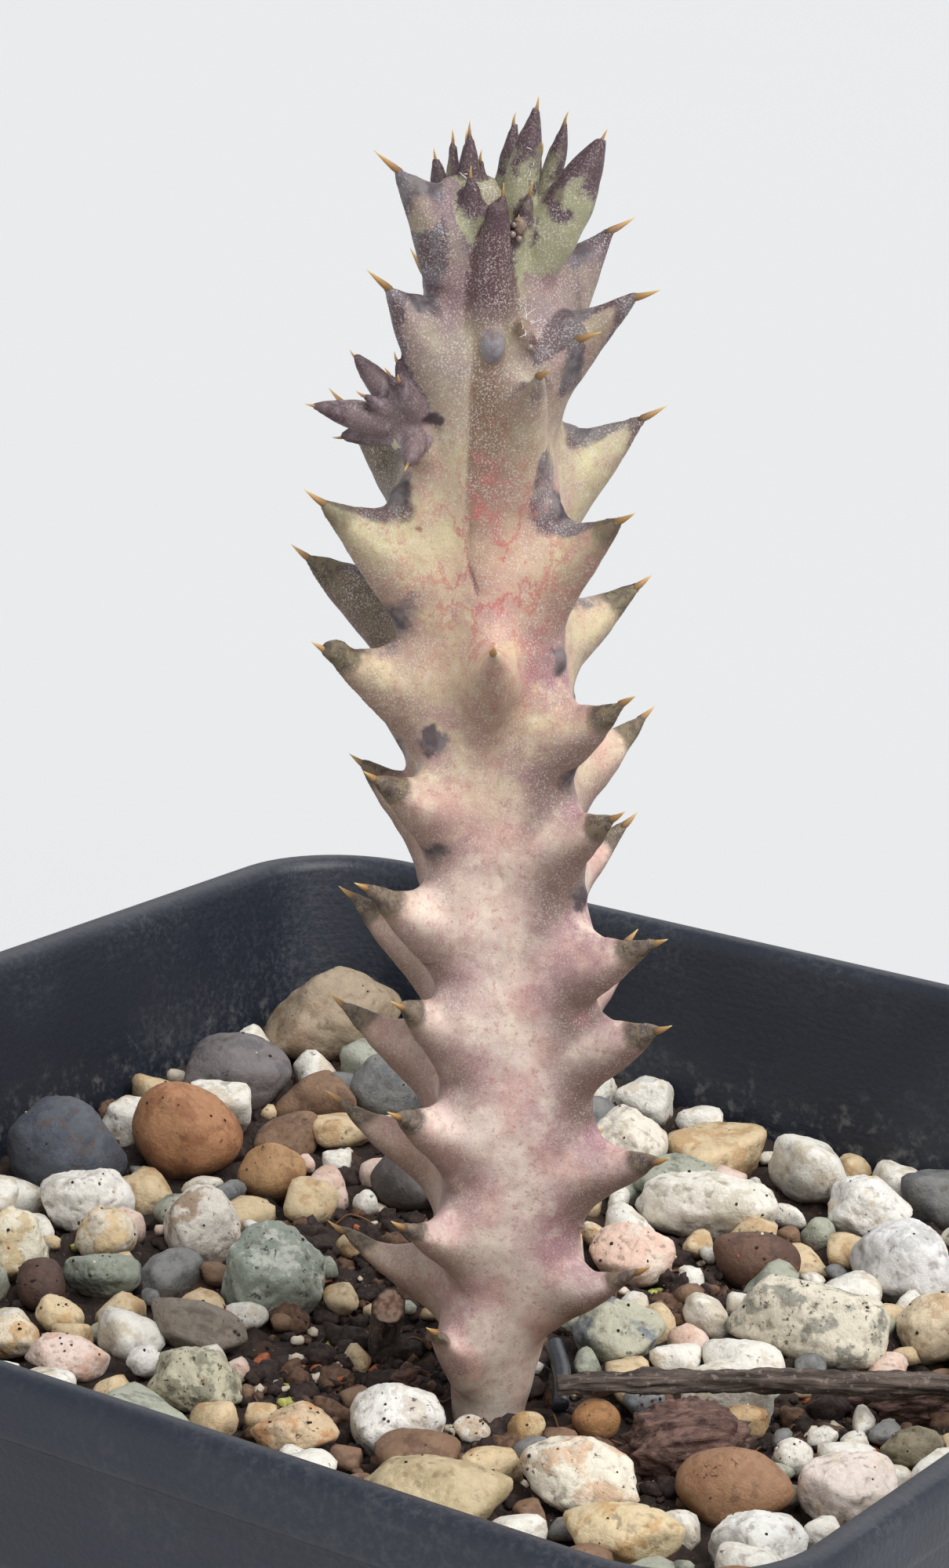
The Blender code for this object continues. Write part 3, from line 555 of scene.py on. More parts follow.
# Young tubercles round the growing tip: azimuth, distance of foot, lean outwards, height of tip and radius.
CROWN = [
    (-78, 2.4, 0.3, 64.9, 0.5), (-58, 1.8, 0.4, 65.4, 0.6), (-34, 2.3, 0.5, 63.4, 0.82),
    (170, 1.3, 0.4, 65.6, 0.75), (70, 0.7, 0.6, 66.6, 0.88), (112, 2.1, 0.9, 65.8, 0.66),
    (82, 2.4, 2.3, 65.2, 1.2), (80, 1.9, 1.7, 63.8, 1.05), (2, 1.6, 0.2, 62.6, 0.55),
    (42, 1.8, 0.3, 62.7, 0.52), (22, 2.3, 0.2, 61.2, 0.5), (-140, 2.0, 1.0, 64.6, 0.75),
    (-108, 2.4, 1.2, 63.8, 0.75), (140, 1.9, 0.8, 64.2, 0.65), (-70, 1.1, 0.1, 64.0, 0.5),
]
CROWN_FOOT = 57.4

# Side shoot: where it sits, and the azimuth, rise, length and radius of its tubercles.
SHOOT_AZIMUTH, SHOOT_HEIGHT, SHOOT_REACH = -53, 50.8, 4.5
SHOOT = [
    (-62, 78, 3.9, 0.6), (-98, 52, 4.7, 0.72), (-80, 14, 5.1, 0.74), (-106, -10, 3.8, 0.64),
    (-44, 62, 3.6, 0.56), (-14, 56, 3.6, 0.64), (0, -24, 3.4, 0.58), (-60, 36, 3.5, 0.52),
]


def core_sway(height):
    """How far the stem's middle stands to the right of its foot at a height above the soil."""
    return -LEAN * height / LEAN_HEIGHT + SWAY * np.sin(2 * np.pi * height / SWAY_LENGTH) * (height > 0)


def core_point(height):
    """The stem's middle at a height above the soil."""
    place = Vector((STEM_X, STEM_Y, SOIL_LEVEL + height))
    return place + heading(90.0) * float(core_sway(np.float64(height)))


def round_stem(x, y, height):
    """How far points lie from the stem's middle, and their azimuths."""
    side = heading(90.0)
    dx = x - STEM_X - side.x * core_sway(height)
    dy = y - STEM_Y - side.y * core_sway(height)
    return np.hypot(dx, dy), np.degrees(np.arctan2(dx, -dy)) - VIEW_AZIMUTH


def turned_from(azimuth, middle):
    """Degrees from one azimuth to another, between -180 and 180."""
    return (azimuth - middle + 180.0) % 360.0 - 180.0


def rib_line(row, height):
    """Azimuth of a rib at a height above the soil, from one of its teeth to the next."""
    return np.interp(height, [tooth[1] for tooth in row], [tooth[0] for tooth in row])


def uprightness(height):
    """0 for the spreading teeth low on the stem, 1 for the upright ones near its top."""
    return min(1.0, max(0.0, (height - 40.0) / 16.0))


def melt(a, b, reach):
    """Union of two solids with a fillet of about the given reach."""
    near = np.maximum(reach - np.abs(a - b), 0.0) / reach
    return np.minimum(a, b) - near * near * reach * 0.25


def step_up(value, low, high):
    """0 below low, 1 above high, and a smooth step between them."""
    t = np.clip((value - low) / (high - low), 0.0, 1.0)
    return t * t * (3.0 - 2.0 * t)


def stem_core(x, y, z):
    """Distance from the ribbed stem without its teeth."""
    height = z - SOIL_LEVEL
    out, azimuth = round_stem(x, y, height)
    rib = np.zeros_like(out)
    for row in RIDGES.values():
        rib += np.exp(-(turned_from(azimuth, rib_line(row, height)) / RIB_SPREAD) ** 2)
    for face in FACE_RIBS:
        low_rib = FACE_RIB_SHARE * np.exp(-(turned_from(azimuth, face) / FACE_RIB_SPREAD) ** 2)
        rib += low_rib * step_up(height, 33.0, 42.0)
    square = np.clip(np.minimum((height - 2.0) / 26.0, (60.0 - height) / 14.0), 0.0, 1.0)
    radius = np.interp(height, [c[0] for c in CORE], [c[1] for c in CORE])
    radius = radius * (1.0 + square * (0.2 * rib - 0.14))
    return np.maximum((out - radius) * 0.92, height - STEM_TOP)


# Outline of a tooth from the stem to the foot of its spine, low on the stem and near its top: how far along,
# the upper and the lower edge from the tip's height, and half its thickness.
LOW_TOOTH = [(0.0, 1.1, -6.2, 1.6), (0.14, 0.5, -5.4, 1.5), (0.3, -0.15, -4.5, 1.32),
             (0.5, -0.5, -3.4, 1.05), (0.7, -0.4, -2.35, 0.76), (0.85, -0.2, -1.42, 0.47),
             (0.95, -0.12, -0.72, 0.26), (1.0, -0.16, -0.4, 0.13)]
HIGH_TOOTH = [(0.0, -1.2, -8.8, 2.1), (0.14, -1.3, -7.8, 1.8), (0.3, -1.2, -6.6, 1.45),
              (0.5, -0.9, -4.9, 1.05), (0.7, -0.5, -3.1, 0.72), (0.85, -0.2, -1.75, 0.48),
              (0.95, -0.03, -0.85, 0.28), (1.0, 0.02, -0.3, 0.14)]
TOOTH_START = 3.0

# The small dark bump in the angle above a tooth: how far out from the tooth's start, how high above its tip,
# and how much lower it sits on an upright tooth.
AXIL_OUT, AXIL_RISE, AXIL_DROP = 1.55, 1.15, 2.9


def spine_slope(azimuth, upright):
    """How far the spine of a tooth rises from its foot to its end."""
    return upright * (0.75 if azimuth < 0 else 0.2)


def tooth_frame(x, y, z, azimuth, height, reach, root=None):
    """Where points lie in a tooth: outwards, upwards and sideways, and its edges and thickness there."""
    out = heading(azimuth)
    foot = core_point(height)
    u = (x - foot.x) * out.x + (y - foot.y) * out.y
    w = (y - foot.y) * out.x - (x - foot.x) * out.y
    v = z - SOIL_LEVEL - height
    upright = uprightness(height)
    flesh = reach - 0.6 - 0.5 * upright
    t = np.clip((u - TOOTH_START) / (flesh - TOOTH_START), 0.0, 1.0)
    own = random.Random(f"{azimuth} {height}")
    w = w - own.uniform(-0.5, 0.5) * 4.0 * t * (1.0 - t)
    shape = (1.0 - upright) * np.array(LOW_TOOTH) + upright * np.array(HIGH_TOOTH)
    upper, lower, thick = (np.interp(t, shape[:, 0], shape[:, k]) for k in (1, 2, 3))
    lower = lower * ((root or min(6.9, 3.0 + height * 0.17)) / 6.4) * own.uniform(0.95, 1.05)
    lift = own.uniform(-0.1, 0.4) * (1.0 - upright) * 4.0 * t * (1.0 - t)
    drop = lift + spine_slope(azimuth, upright) * t
    upper, lower = upper - drop, lower - drop
    slim = 0.95 - 0.1 * upright if abs(azimuth) < 30 else 0.82 + 0.18 * min(1.0, height / 32.0)
    thick = thick * own.uniform(0.92, 1.1) * slim
    return u, v, w, t, upper, lower, thick, flesh, upright


def tooth_solid(x, y, z, *row):
    """Distance from a tooth without its spine."""
    u, v, w, _, upper, lower, thick, flesh, _ = tooth_frame(x, y, z, *row)
    tall = np.maximum(upper - lower, 0.2) / 2.0
    rise = np.abs(v - (upper + lower) / 2.0) / tall
    across = np.abs(w) / thick
    hull = np.maximum((rise ** 1.6 + across ** 1.6) ** (1 / 1.6), 1e-3)
    slope = np.hypot((rise / hull) ** 0.6 / tall, (across / hull) ** 0.6 / thick)
    solid = np.clip((hull - 1.0) / slope, -2.0, 4.0) * 0.9
    solid = np.maximum(np.maximum(solid, u - flesh), 0.5 - u)
    solid = np.maximum(solid, (np.abs(w) - u - 0.2) * 0.7)
    if row[:2] == CAPPED_TOOTH:
        cap = np.sqrt(((u - flesh + 0.7) / 1.3) ** 2 + (v + 0.35) ** 2 + w ** 2) - 0.5
        solid = melt(solid, cap, 0.4)
    return solid


def axil_knob(x, y, z, azimuth, height, *_):
    """How far points are from the middle of the bump above a tooth."""
    knob_height = height + AXIL_RISE - AXIL_DROP * uprightness(height)
    spot = core_point(knob_height) + heading(azimuth) * (TOOTH_START + AXIL_OUT)
    return np.sqrt((x - spot.x) ** 2 + (y - spot.y) ** 2 + (z - spot.z) ** 2)


def horn_frame(x, y, z, foot, tip, radius, spine_length, swelling):
    """Where points lie in a young tubercle: along it, and how far out for its radius there."""
    along = tip - foot
    length = along.length - spine_length
    along = along.normalized()
    dx, dy, dz = x - foot.x, y - foot.y, z - foot.z
    s = (dx * along.x + dy * along.y + dz * along.z) / length
    away = np.sqrt(np.maximum(dx * dx + dy * dy + dz * dz - (s * length) ** 2, 0.0))
    swell = np.interp(s, [0.0, 0.35, 0.6, 0.8, 0.92, 1.0], swelling)
    return s, away, swell * radius, length


def horn_solid(x, y, z, *horn):
    """Distance from a young tubercle without its spine."""
    s, away, swell, length = horn_frame(x, y, z, *horn)
    return np.maximum(away - swell, np.maximum(-s, s - 1.0) * length)


teeth = [row for rows in (*RIDGES.values(), FACE_TEETH) for row in rows]

# How a tubercle swells from its foot to its end, as shares of its radius.
POINTED = (0.75, 1.0, 0.94, 0.68, 0.42, 0.2)
BLUNT = (0.75, 1.0, 1.0, 0.92, 0.8, 0.5)
TAPERED = (1.3, 1.18, 0.94, 0.68, 0.56, 0.46)

# Length of the spine on a tubercle of the tuft, on the blunt young tooth and on a tubercle of the shoot.
CROWN_SPINE, FINGER_SPINE, SHOOT_SPINE = 0.55, 0.25, 0.4

crown = []
for azimuth, start, lean, top, radius in CROWN:
    out = heading(azimuth)
    foot = core_point(CROWN_FOOT) + out * start * 0.7
    crown.append((foot, core_point(top) + out * (start + lean), radius, CROWN_SPINE, POINTED))
finger_way = heading(FINGER_AZIMUTH)
finger = (core_point(FINGER_FOOT) + finger_way * 1.3, core_point(FINGER_TOP) + finger_way * 3.5,
          FINGER_RADIUS, FINGER_SPINE, TAPERED)
shoot_way = heading(SHOOT_AZIMUTH)
shoot_seat = core_point(SHOOT_HEIGHT) + shoot_way * SHOOT_REACH
shoot_body = (core_point(SHOOT_HEIGHT - 2.0) + shoot_way * 2.0, shoot_seat + shoot_way * 0.5, 1.0, 0.0,
              BLUNT)
shoot = []
for azimuth, rise, length, radius in SHOOT:
    up = math.radians(rise)
    way = heading(azimuth) * math.cos(up) + Vector((0, 0, math.sin(up)))
    shoot.append((shoot_seat - shoot_way * 0.8, shoot_seat + way * length, radius, SHOOT_SPINE, POINTED))
horns = [*crown, finger, shoot_body, *shoot]


def surface_nets(field, low, cell):
    """Quads of the zero level of a field of distances on a grid, one corner in each cell that it crosses."""
    inside = field < 0.0
    size = np.array(field.shape) - 1
    corners = [(a, b, c) for a in (0, 1) for b in (0, 1) for c in (0, 1)]
    count = np.zeros(size, dtype=np.int8)
    for a, b, c in corners:
        count += inside[a:size[0] + a, b:size[1] + b, c:size[2] + c]
    cells = np.argwhere((count > 0) & (count < 8))
    index = -np.ones(size, dtype=np.int64)
    index[tuple(cells.T)] = np.arange(len(cells))
    total = np.zeros((len(cells), 3))
    hits = np.zeros(len(cells))
    for p in corners:
        for axis in range(3):
            if p[axis] == 0:
                q = tuple(p[k] + (k == axis) for k in range(3))
                fp = field[tuple((cells + p).T)]
                fq = field[tuple((cells + q).T)]
                crossing = (fp < 0) != (fq < 0)
                t = np.where(crossing, fp / np.where(crossing, fp - fq, 1.0), 0.0)
                spot = np.array(p, dtype=float) + t[:, None] * (np.arange(3) == axis)
                total += spot * crossing[:, None]
                hits += crossing
    points = low + (cells + total / hits[:, None]) * cell
    quads = []
    for axis in range(3):
        b, c = (axis + 1) % 3, (axis + 2) % 3
        first = inside[tuple(slice(0, -1) if k == axis else slice(1, -1) for k in range(3))]
        second = inside[tuple(slice(1, None) if k == axis else slice(1, -1) for k in range(3))]
        edges = np.argwhere(first != second) + [0 if k == axis else 1 for k in range(3)]
        outward = inside[tuple(edges.T)]
        ring = []
        for db, dc in ((1, 1), (0, 1), (0, 0), (1, 0)):
            shift = np.zeros(3, dtype=int)
            shift[b], shift[c] = db, dc
            ring.append(index[tuple((edges - shift).T)])
        ring = np.stack(ring, axis=1)
        quads.append(np.where(outward[:, None], ring, ring[:, ::-1]))
    return points, np.concatenate(quads)


# Blemishes of the skin: what they look like, azimuth, height and size.
BLEMISHES = [("dark_spot", -36, 51.4, 0.42), ("dark_spot", -33, 50.9, 0.3), ("rust_spot", 19, 51.5, 0.42),
             ("rust_spot", -48.5, 46.1, 0.3), ("rust_spot", 160, 49.0, 0.45), ("dark_spot", 140, 44.0, 0.5),
             ("rust_spot", -150, 38.5, 0.4)]

# Buds on the upper stem: azimuth, height, distance out, half width and half height.
BUDS = {"slate": (5, 55.1, 3.4, 0.52, 0.72), "brown": (29, 56.0, 3.3, 0.34, 0.4),
        "ear": (34, 55.2, 3.6, 0.26, 0.5), "small": (-6, 61.2, 2.3, 0.3, 0.42),
        "small_right": (25, 60.6, 2.5, 0.3, 0.45)}
BUD_ROOM = Vector((1.6, 1.6, 1.6))


def bud_frame(x, y, z, azimuth, height, out, half_width, half_height):
    """How far points are from a bud's middle, where one is its surface."""
    spot = core_point(height) + heading(azimuth) * out
    level = ((x - spot.x) ** 2 + (y - spot.y) ** 2) / half_width ** 2
    return np.sqrt(level + ((z - spot.z) / half_height) ** 2)


stem_low, stem_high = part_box("stem")
stem_low = np.array(stem_low) / MM - STEM_MARGIN
stem_high = np.array(stem_high) / MM + STEM_MARGIN
axes = [np.arange(stem_low[k], stem_high[k], STEM_CELL, dtype=np.float32) for k in range(3)]
field = stem_core(*np.meshgrid(*axes, indexing="ij")).astype(np.float32)


def window(low, high):
    """The part of the stem's grid between two corners, and its points."""
    span = []
    for k in range(3):
        begin = int(np.clip((low[k] - stem_low[k]) / STEM_CELL, 0, len(axes[k]) - 2))
        end = int(np.clip((high[k] - stem_low[k]) / STEM_CELL + 1, begin + 2, len(axes[k])))
        span.append(slice(begin, end))
    return tuple(span), np.meshgrid(*[axes[k][span[k]] for k in range(3)], indexing="ij")


ribs = np.full(field.shape, 4.0, dtype=np.float32)
for row in teeth:
    foot = core_point(row[1])
    tip = foot + heading(row[0]) * row[2]
    spread = Vector((2.8, 2.8, 0.0))
    low = Vector(map(min, foot, tip)) - spread - Vector((0, 0, 10.5))
    high = Vector(map(max, foot, tip)) + spread + Vector((0, 0, 3.0))
    part, (x, y, z) = window(low, high)
    ribs[part] = melt(ribs[part], tooth_solid(x, y, z, *row), 0.5)
    if row not in FACE_TEETH:
        size = 0.14 * step_up(row[1], 20.0, 34.0) * (1.0 - 0.6 * step_up(row[1], 44.0, 56.0))
        ribs[part] = melt(ribs[part], axil_knob(x, y, z, *row) - size, 0.9)
field = melt(field, ribs, 1.1 + 0.3 * (1.0 - step_up(axes[2] - SOIL_LEVEL, 16.0, 34.0)))
for horn in horns:
    foot, tip, radius = horn[:3]
    spread = Vector((2.0, 2.0, 2.0)) + Vector((1, 1, 1)) * radius
    low = Vector(map(min, foot, tip)) - spread
    high = Vector(map(max, foot, tip)) + spread
    part, (x, y, z) = window(low, high)
    field[part] = melt(field[part], horn_solid(x, y, z, *horn), 0.16 if horn in shoot else 0.3)
for bud in BUDS.values():
    azimuth, height, out, half_width, _ = bud
    spot = core_point(height) + heading(azimuth) * out
    part, (x, y, z) = window(spot - BUD_ROOM, spot + BUD_ROOM)
    field[part] = melt(field[part], (bud_frame(x, y, z, *bud) - 1.0) * half_width, 0.5)

skin_points, skin_quads = surface_nets(field, stem_low, STEM_CELL)


def relief_noise(points, size, depth, seed):
    """Gentle bumps of about the given size in millimetres, for each point."""
    shift = Vector((seed, seed * 0.7, -seed))
    return depth * np.array([noise.noise(Vector(point) / size + shift) for point in points.tolist()])


def normals_of(points, faces):
    """Outward direction at each point of a mesh of quads."""
    a, b = points[faces[:, 2]] - points[faces[:, 0]], points[faces[:, 3]] - points[faces[:, 1]]
    across = np.cross(a, b)
    total = np.zeros_like(points)
    for k in range(4):
        np.add.at(total, faces[:, k], across)
    return total / np.maximum(np.linalg.norm(total, axis=1, keepdims=True), 1e-9)


def hollows_of(points, faces, normals, rounds):
    """How hollow a mesh of quads is at each point, evened out over the given rounds of neighbours."""
    ends = np.concatenate([faces[:, [k, (k + 1) % 4]] for k in range(4)])
    count = np.maximum(np.bincount(ends.ravel(), minlength=len(points)), 1)

    def mean(values):
        return np.bincount(ends.ravel(), values[ends[:, ::-1]].ravel(), minlength=len(points)) / count

    offset = np.stack([mean(points[:, k]) for k in range(3)], axis=1) - points
    hollow = np.sum(offset * normals, axis=1)
    for _ in range(rounds):
        hollow = mean(hollow)
    return hollow


skin_normals = normals_of(skin_points, skin_quads)
skin_hollows = hollows_of(skin_points, skin_quads, skin_normals, 6)
bumps = relief_noise(skin_points, 2.6, 0.1, 3.0) + relief_noise(skin_points, 0.8, 0.045, 9.0)
GROOVE_WIDTH, GROOVE_DEPTH, HOLLOW_DEPTH = 0.16, 0.13, 0.012
skin_heights = skin_points[:, 2] - SOIL_LEVEL
skin_out, skin_azimuth = round_stem(skin_points[:, 0], skin_points[:, 1], skin_heights)
rib_lines = [rib_line(row, skin_heights) for row in RIDGES.values()]
next_lines = rib_lines[1:] + [rib_lines[0] + 360.0]
groove = np.zeros(len(skin_points))
for number, (near, far) in enumerate(zip(rib_lines, next_lines)):
    middle = (near + far) / 2 + 6.0 * np.sin(skin_heights * 0.33 + number)
    middle = middle + 4.0 * np.sin(skin_heights * 0.95)
    away = np.radians(turned_from(skin_azimuth, middle)) * skin_out
    deep = 0.35 + 0.65 * step_up(np.sin(skin_heights * 0.42 + 1.7 * number), -0.6, 0.6)
    line = np.exp(-(away / GROOVE_WIDTH) ** 2) * deep * step_up(skin_heights, 24.0, 34.0)
    groove += line * (1 - step_up(skin_heights, 50, 58))
broken = relief_noise(skin_points, 1.6, 1.0, 21.0)
groove *= step_up(broken, -0.25, 0.3)
bumps -= GROOVE_DEPTH * groove
skin_points = skin_points + skin_normals * bumps[:, None]

stem_marks = {name: np.zeros(len(skin_points)) for name in
              ("tip", "axil", "blush", "flank", "shade", "edge", "young", "bud", "finger", "spine", "shoot")}


def mark_stem(name, values, where=slice(None)):
    """Raise a mark of the skin to the given values, at the given points."""
    marks = stem_marks.setdefault(name, np.zeros(len(skin_points)))
    marks[where] = np.maximum(marks[where], values)


sx, sy, sz = skin_points.T
for row in teeth:
    azimuth, height, reach = row[:3]
    on_face, on_left, on_right = row in FACE_TEETH, azimuth < -90, 40 < azimuth < 80
    foot = core_point(height)
    near = np.flatnonzero((np.abs(sz - foot.z) < 11.0) & (np.hypot(sx - foot.x, sy - foot.y) < reach + 1.5))
    u, v, w, t, upper, lower, thick, flesh, upright = tooth_frame(sx[near], sy[near], sz[near], *row)
    rise = (v - lower) / np.maximum(upper - lower, 0.2)
    within = (1.0 - step_up(np.abs(w) - thick, 0.0, 0.9)) * step_up(rise, -0.6, -0.1) * (rise < 1.6)
    within = within * step_up(u / flesh, 0.3, 0.5)
    along, above = u - TOOTH_START - AXIL_OUT, v - AXIL_RISE + AXIL_DROP * upright
    knob = np.sqrt((along / 1.5) ** 2 + above ** 2 + w ** 2)
    margins = np.maximum(step_up(rise, 0.7, 0.96) * step_up(t, 0.0, 0.35), step_up(t, 0.6, 0.9) * upright)
    margins = np.maximum(margins, step_up(0.2 - rise, 0.0, 0.2) * step_up(t, 0.3, 0.7) * upright * 0.8)
    found = {
        "tip": within * step_up(t + 0.2 * (rise - 0.5), 0.58, 0.86) * (0.3 if on_face else 1.0)
               * (1.0 - step_up(height, 44.0, 54.0)),
        "edge": within * margins * (0.35 + 0.65 * step_up(height, 34.0, 52.0)) * (0.6 if on_face else 1.0),
        "axil": np.exp(-(knob / 0.9) ** 2) * (not on_face) * step_up(height, 18.0, 30.0),
        "blush": np.exp(-(knob / 3.0) ** 2) * (1.0 - 0.7 * upright) * (1.5 if on_right else 1.0),
        # Lower flank of a tooth: its own browner tint, with painted shade added on the side ribs.
        "flank": within * step_up(0.75 - rise, 0.0, 0.8) * step_up(t, 0.02, 0.35) * (1.0 - 0.6 * upright)
                 * (1.5 if on_left or on_right else 1.0),
        "shade": within * on_left * (0.4 + 0.6 * step_up(height, 36.0, 43.0)),
    }
    for name, values in found.items():
        mark_stem(name, values, near)
for mark, azimuth, height, size in BLEMISHES:
    spot = core_point(height) + heading(azimuth) * 4.0
    off = ((sx - spot.x) ** 2 + (sy - spot.y) ** 2) / (size * 1.3) ** 2 + ((sz - spot.z) / size) ** 2
    mark_stem(mark, np.exp(-off))
for bud_name, bud in BUDS.items():
    on_bud = 1.0 - step_up(bud_frame(sx, sy, sz, *bud), 0.75, 1.55)
    mark_stem("slate_bud" if bud_name == "slate" else "brown_bud", on_bud)
for horn in (*crown, *shoot):
    s, away, swell, _ = horn_frame(sx, sy, sz, *horn)
    within = (away < swell + 0.25) & (s > 0.12) & (s < 1.1)
    on_shoot = horn in shoot
    mark_stem("young", within * (0.5 * step_up(s, 0.1, 0.3) + (0.44 if on_shoot else 0.5) * s))
    mark_stem("bud", within * step_up(s, 0.6, 0.85) * (0.55 if on_shoot else 0.8))
    if on_shoot:
        mark_stem("shoot", within * 1.0)
s, away, swell, _ = horn_frame(sx, sy, sz, *finger)
on_finger = (away < swell + 0.3) * step_up(s, 0.3, 0.6) * (s < 1.1)
mark_stem("finger", on_finger)
mark_stem("bud", on_finger * step_up(s, 0.8, 0.95))

flush_spot = core_point(44.5) + heading(8.0) * 4.0
flush = ((sx - flush_spot.x) ** 2 + (sy - flush_spot.y) ** 2) / 16.0 + ((sz - flush_spot.z) / 5.5) ** 2
# Painted shade: the left back face of the stem below about 52 mm is darkened, as if turned from the light.
lee = np.exp(-(turned_from(skin_azimuth, -98.0) / 38.0) ** 2) * (1.0 - step_up(skin_heights, 46.0, 58.0))
# Painted shade: a brown band on the front, right of the crease, between heights of 43 and 57 mm.
turned = turned_from(skin_azimuth, 6.0)
dusk = step_up(turned, -19.0, -15.0) * (1.0 - step_up(turned, 0.0, 24.0))
dusk = dusk * step_up(skin_heights, 43.0, 48.0) * (1.0 - step_up(skin_heights, 53.0, 57.0))
# Some of these marks carry painted shade: on the left back face, beside the front crease and under
# downward-facing skin.
stem_marks.update(dusk=dusk, lee=lee, flush=np.exp(-flush), under=np.clip(-skin_normals[:, 2], 0, 1),
                  groove=groove, crease=np.clip(skin_hollows / HOLLOW_DEPTH, -1, 1))


def tube(path, radii, sides, flat=1.0):
    """Points and quads of a closed tube along a path, whose ends are drawn together."""
    path = [Vector(p) for p in path]
    side = None
    points, faces = [], []
    for i, at in enumerate(path):
        along = (path[min(i + 1, len(path) - 1)] - path[max(i - 1, 0)]).normalized()
        side = along.orthogonal() if side is None else side - along * side.dot(along)
        side.normalize()
        rise = along.cross(side)
        for s in range(sides):
            turn = 2 * math.pi * s / sides
            points.append(at + (side * math.cos(turn) + rise * math.sin(turn) * flat) * radii[i])
    for i in range(len(path) - 1):
        for s in range(sides):
            n = (s + 1) % sides
            faces.append((i * sides + s, i * sides + n, (i + 1) * sides + n, (i + 1) * sides + s))
    for first, turned in ((0, True), ((len(path) - 1) * sides, False)):
        middle = len(points)
        points.append(path[0] if turned else path[-1])
        for s in range(sides):
            n = (s + 1) % sides
            pair = (first + n, first + s) if turned else (first + s, first + n)
            faces.append((*pair, middle, middle))
    return np.array(points), np.array(faces)


def joined(parts):
    """The points and faces of several meshes as those of one."""
    starts = np.cumsum([0] + [len(points) for points, _ in parts[:-1]])
    faces = [faces + start for (_, faces), start in zip(parts, starts)]
    return np.concatenate([points for points, _ in parts]), np.concatenate(faces)


TOOTH_SPINE = [0.1, 0.19, 0.18, 0.145, 0.1, 0.055, 0.015]
draw = random.Random("spines")
spines, spine_marks = [], []


def grow_spine(foot, tip, bend, radii, sides, first):
    """Add a spine, with a mark that rises along it to 1 from the first value."""
    last = len(radii) - 1
    path = [foot.lerp(tip, k / last) + bend * math.sin(math.pi * k / last) for k in range(last + 1)]
    spines.append(tube(path, radii, sides))
    spine_marks.append(np.concatenate([np.repeat(np.linspace(first, 1.0, last + 1), sides), [first, 1.0]]))


for azimuth, height, reach, *_ in teeth:
    out = heading(azimuth)
    upright = uprightness(height)
    low = -0.5 + 0.15 * upright - spine_slope(azimuth, upright)
    foot = core_point(height) + out * (reach - SPINE_LENGTH - 0.5 * upright) + Vector((0, 0, low))
    tip = core_point(height) + out * reach + Vector((0, 0, draw.uniform(0.0, 0.22)))
    bend = Vector((0, 0, draw.uniform(-0.07, -0.01)))
    grow_spine(foot, tip, bend, TOOTH_SPINE, 8, 0.1)
for foot, tip, radius, spine_length, _ in (*crown, *shoot):
    along = (tip - foot).normalized()
    start = tip - along * (spine_length + 0.35)
    bend = along.orthogonal().normalized() * draw.uniform(-0.08, 0.08)
    grow_spine(start, tip, bend, [radius * 0.17, radius * 0.15, 0.08, 0.055, 0.035, 0.01], 7, 0.12)
spine_tail = np.concatenate(spine_marks)
for name, values in stem_marks.items():
    tail = spine_tail if name == "spine" else np.zeros(len(spine_tail))
    stem_marks[name] = np.concatenate([values, tail])
stem_points, stem_faces = joined([(skin_points, skin_quads), *spines])

stem_finish = Finish("succulent_skin", Subsurface_Weight=0.08, Subsurface_Radius=(1.0, 0.55, 0.4),
                     Subsurface_Scale=0.0008, Specular_IOR_Level=0.45)
wander = stem_finish.noise(0.35, 3.0)
stem_height = stem_finish.height() + (wander - 0.5) * 9.0
skin_colour = stem_finish.node("ValToRGB", {"stops": [
    (0.0, paint(206, 194, 180)), (0.25, paint(240, 222, 208)), (0.42, paint(232, 212, 194)),
    (0.56, paint(216, 198, 156)), (0.7, paint(206, 206, 152)), (0.78, paint(170, 164, 136)),
    (0.86, paint(122, 106, 106)), (0.91, paint(92, 82, 88)), (1.0, paint(74, 70, 78)),
]}, {0: (stem_height - SOIL_LEVEL) / 66.0})
patches = stem_finish.noise(0.2, 3.0, stem_finish.moved((40, 8, 3)))
green_zone = stem_height.rise(92.0, 100.0)
skin_colour = stem_finish.mix(patches.rise(0.48, 0.66) * (green_zone * 0.4 + 0.08), skin_colour,
                              paint(178, 174, 124))
pink_patches = stem_finish.noise(0.32, 5.0, stem_finish.moved((-9, 30, 11)))
lower_part = 1.0 - stem_height.rise(98.0, 110.0) * 0.8
calm = 1.0 - stem_height.rise(110.0, 119.0) * 0.8
skin_colour = stem_finish.mix(pink_patches.rise(0.46, 0.66) * lower_part * 0.5, skin_colour,
                              paint(204, 138, 132))
mottle = stem_finish.noise(1.5, 6.0, stem_finish.moved((12, 3, 1)), roughness=0.72)
skin_colour = stem_finish.mix(mottle.rise(0.48, 0.64) * calm * 0.34, skin_colour, paint(178, 134, 112))
skin_colour = stem_finish.mix((1.0 - mottle).rise(0.52, 0.7) * calm * 0.5, skin_colour, paint(234, 224, 202))
freckles = stem_finish.noise(3.4, 3.0, stem_finish.moved((8, 2, 6)), roughness=0.6)
skin_colour = stem_finish.mix(freckles.rise(0.56, 0.66) * calm * 0.45, skin_colour, paint(172, 108, 100))
blush = stem_finish.mark("blush")
skin_colour = stem_finish.mix(blush * stem_finish.noise(0.7, 4.0, roughness=0.65).rise(0.25, 0.6) * 0.85,
                              skin_colour, paint(160, 118, 126))
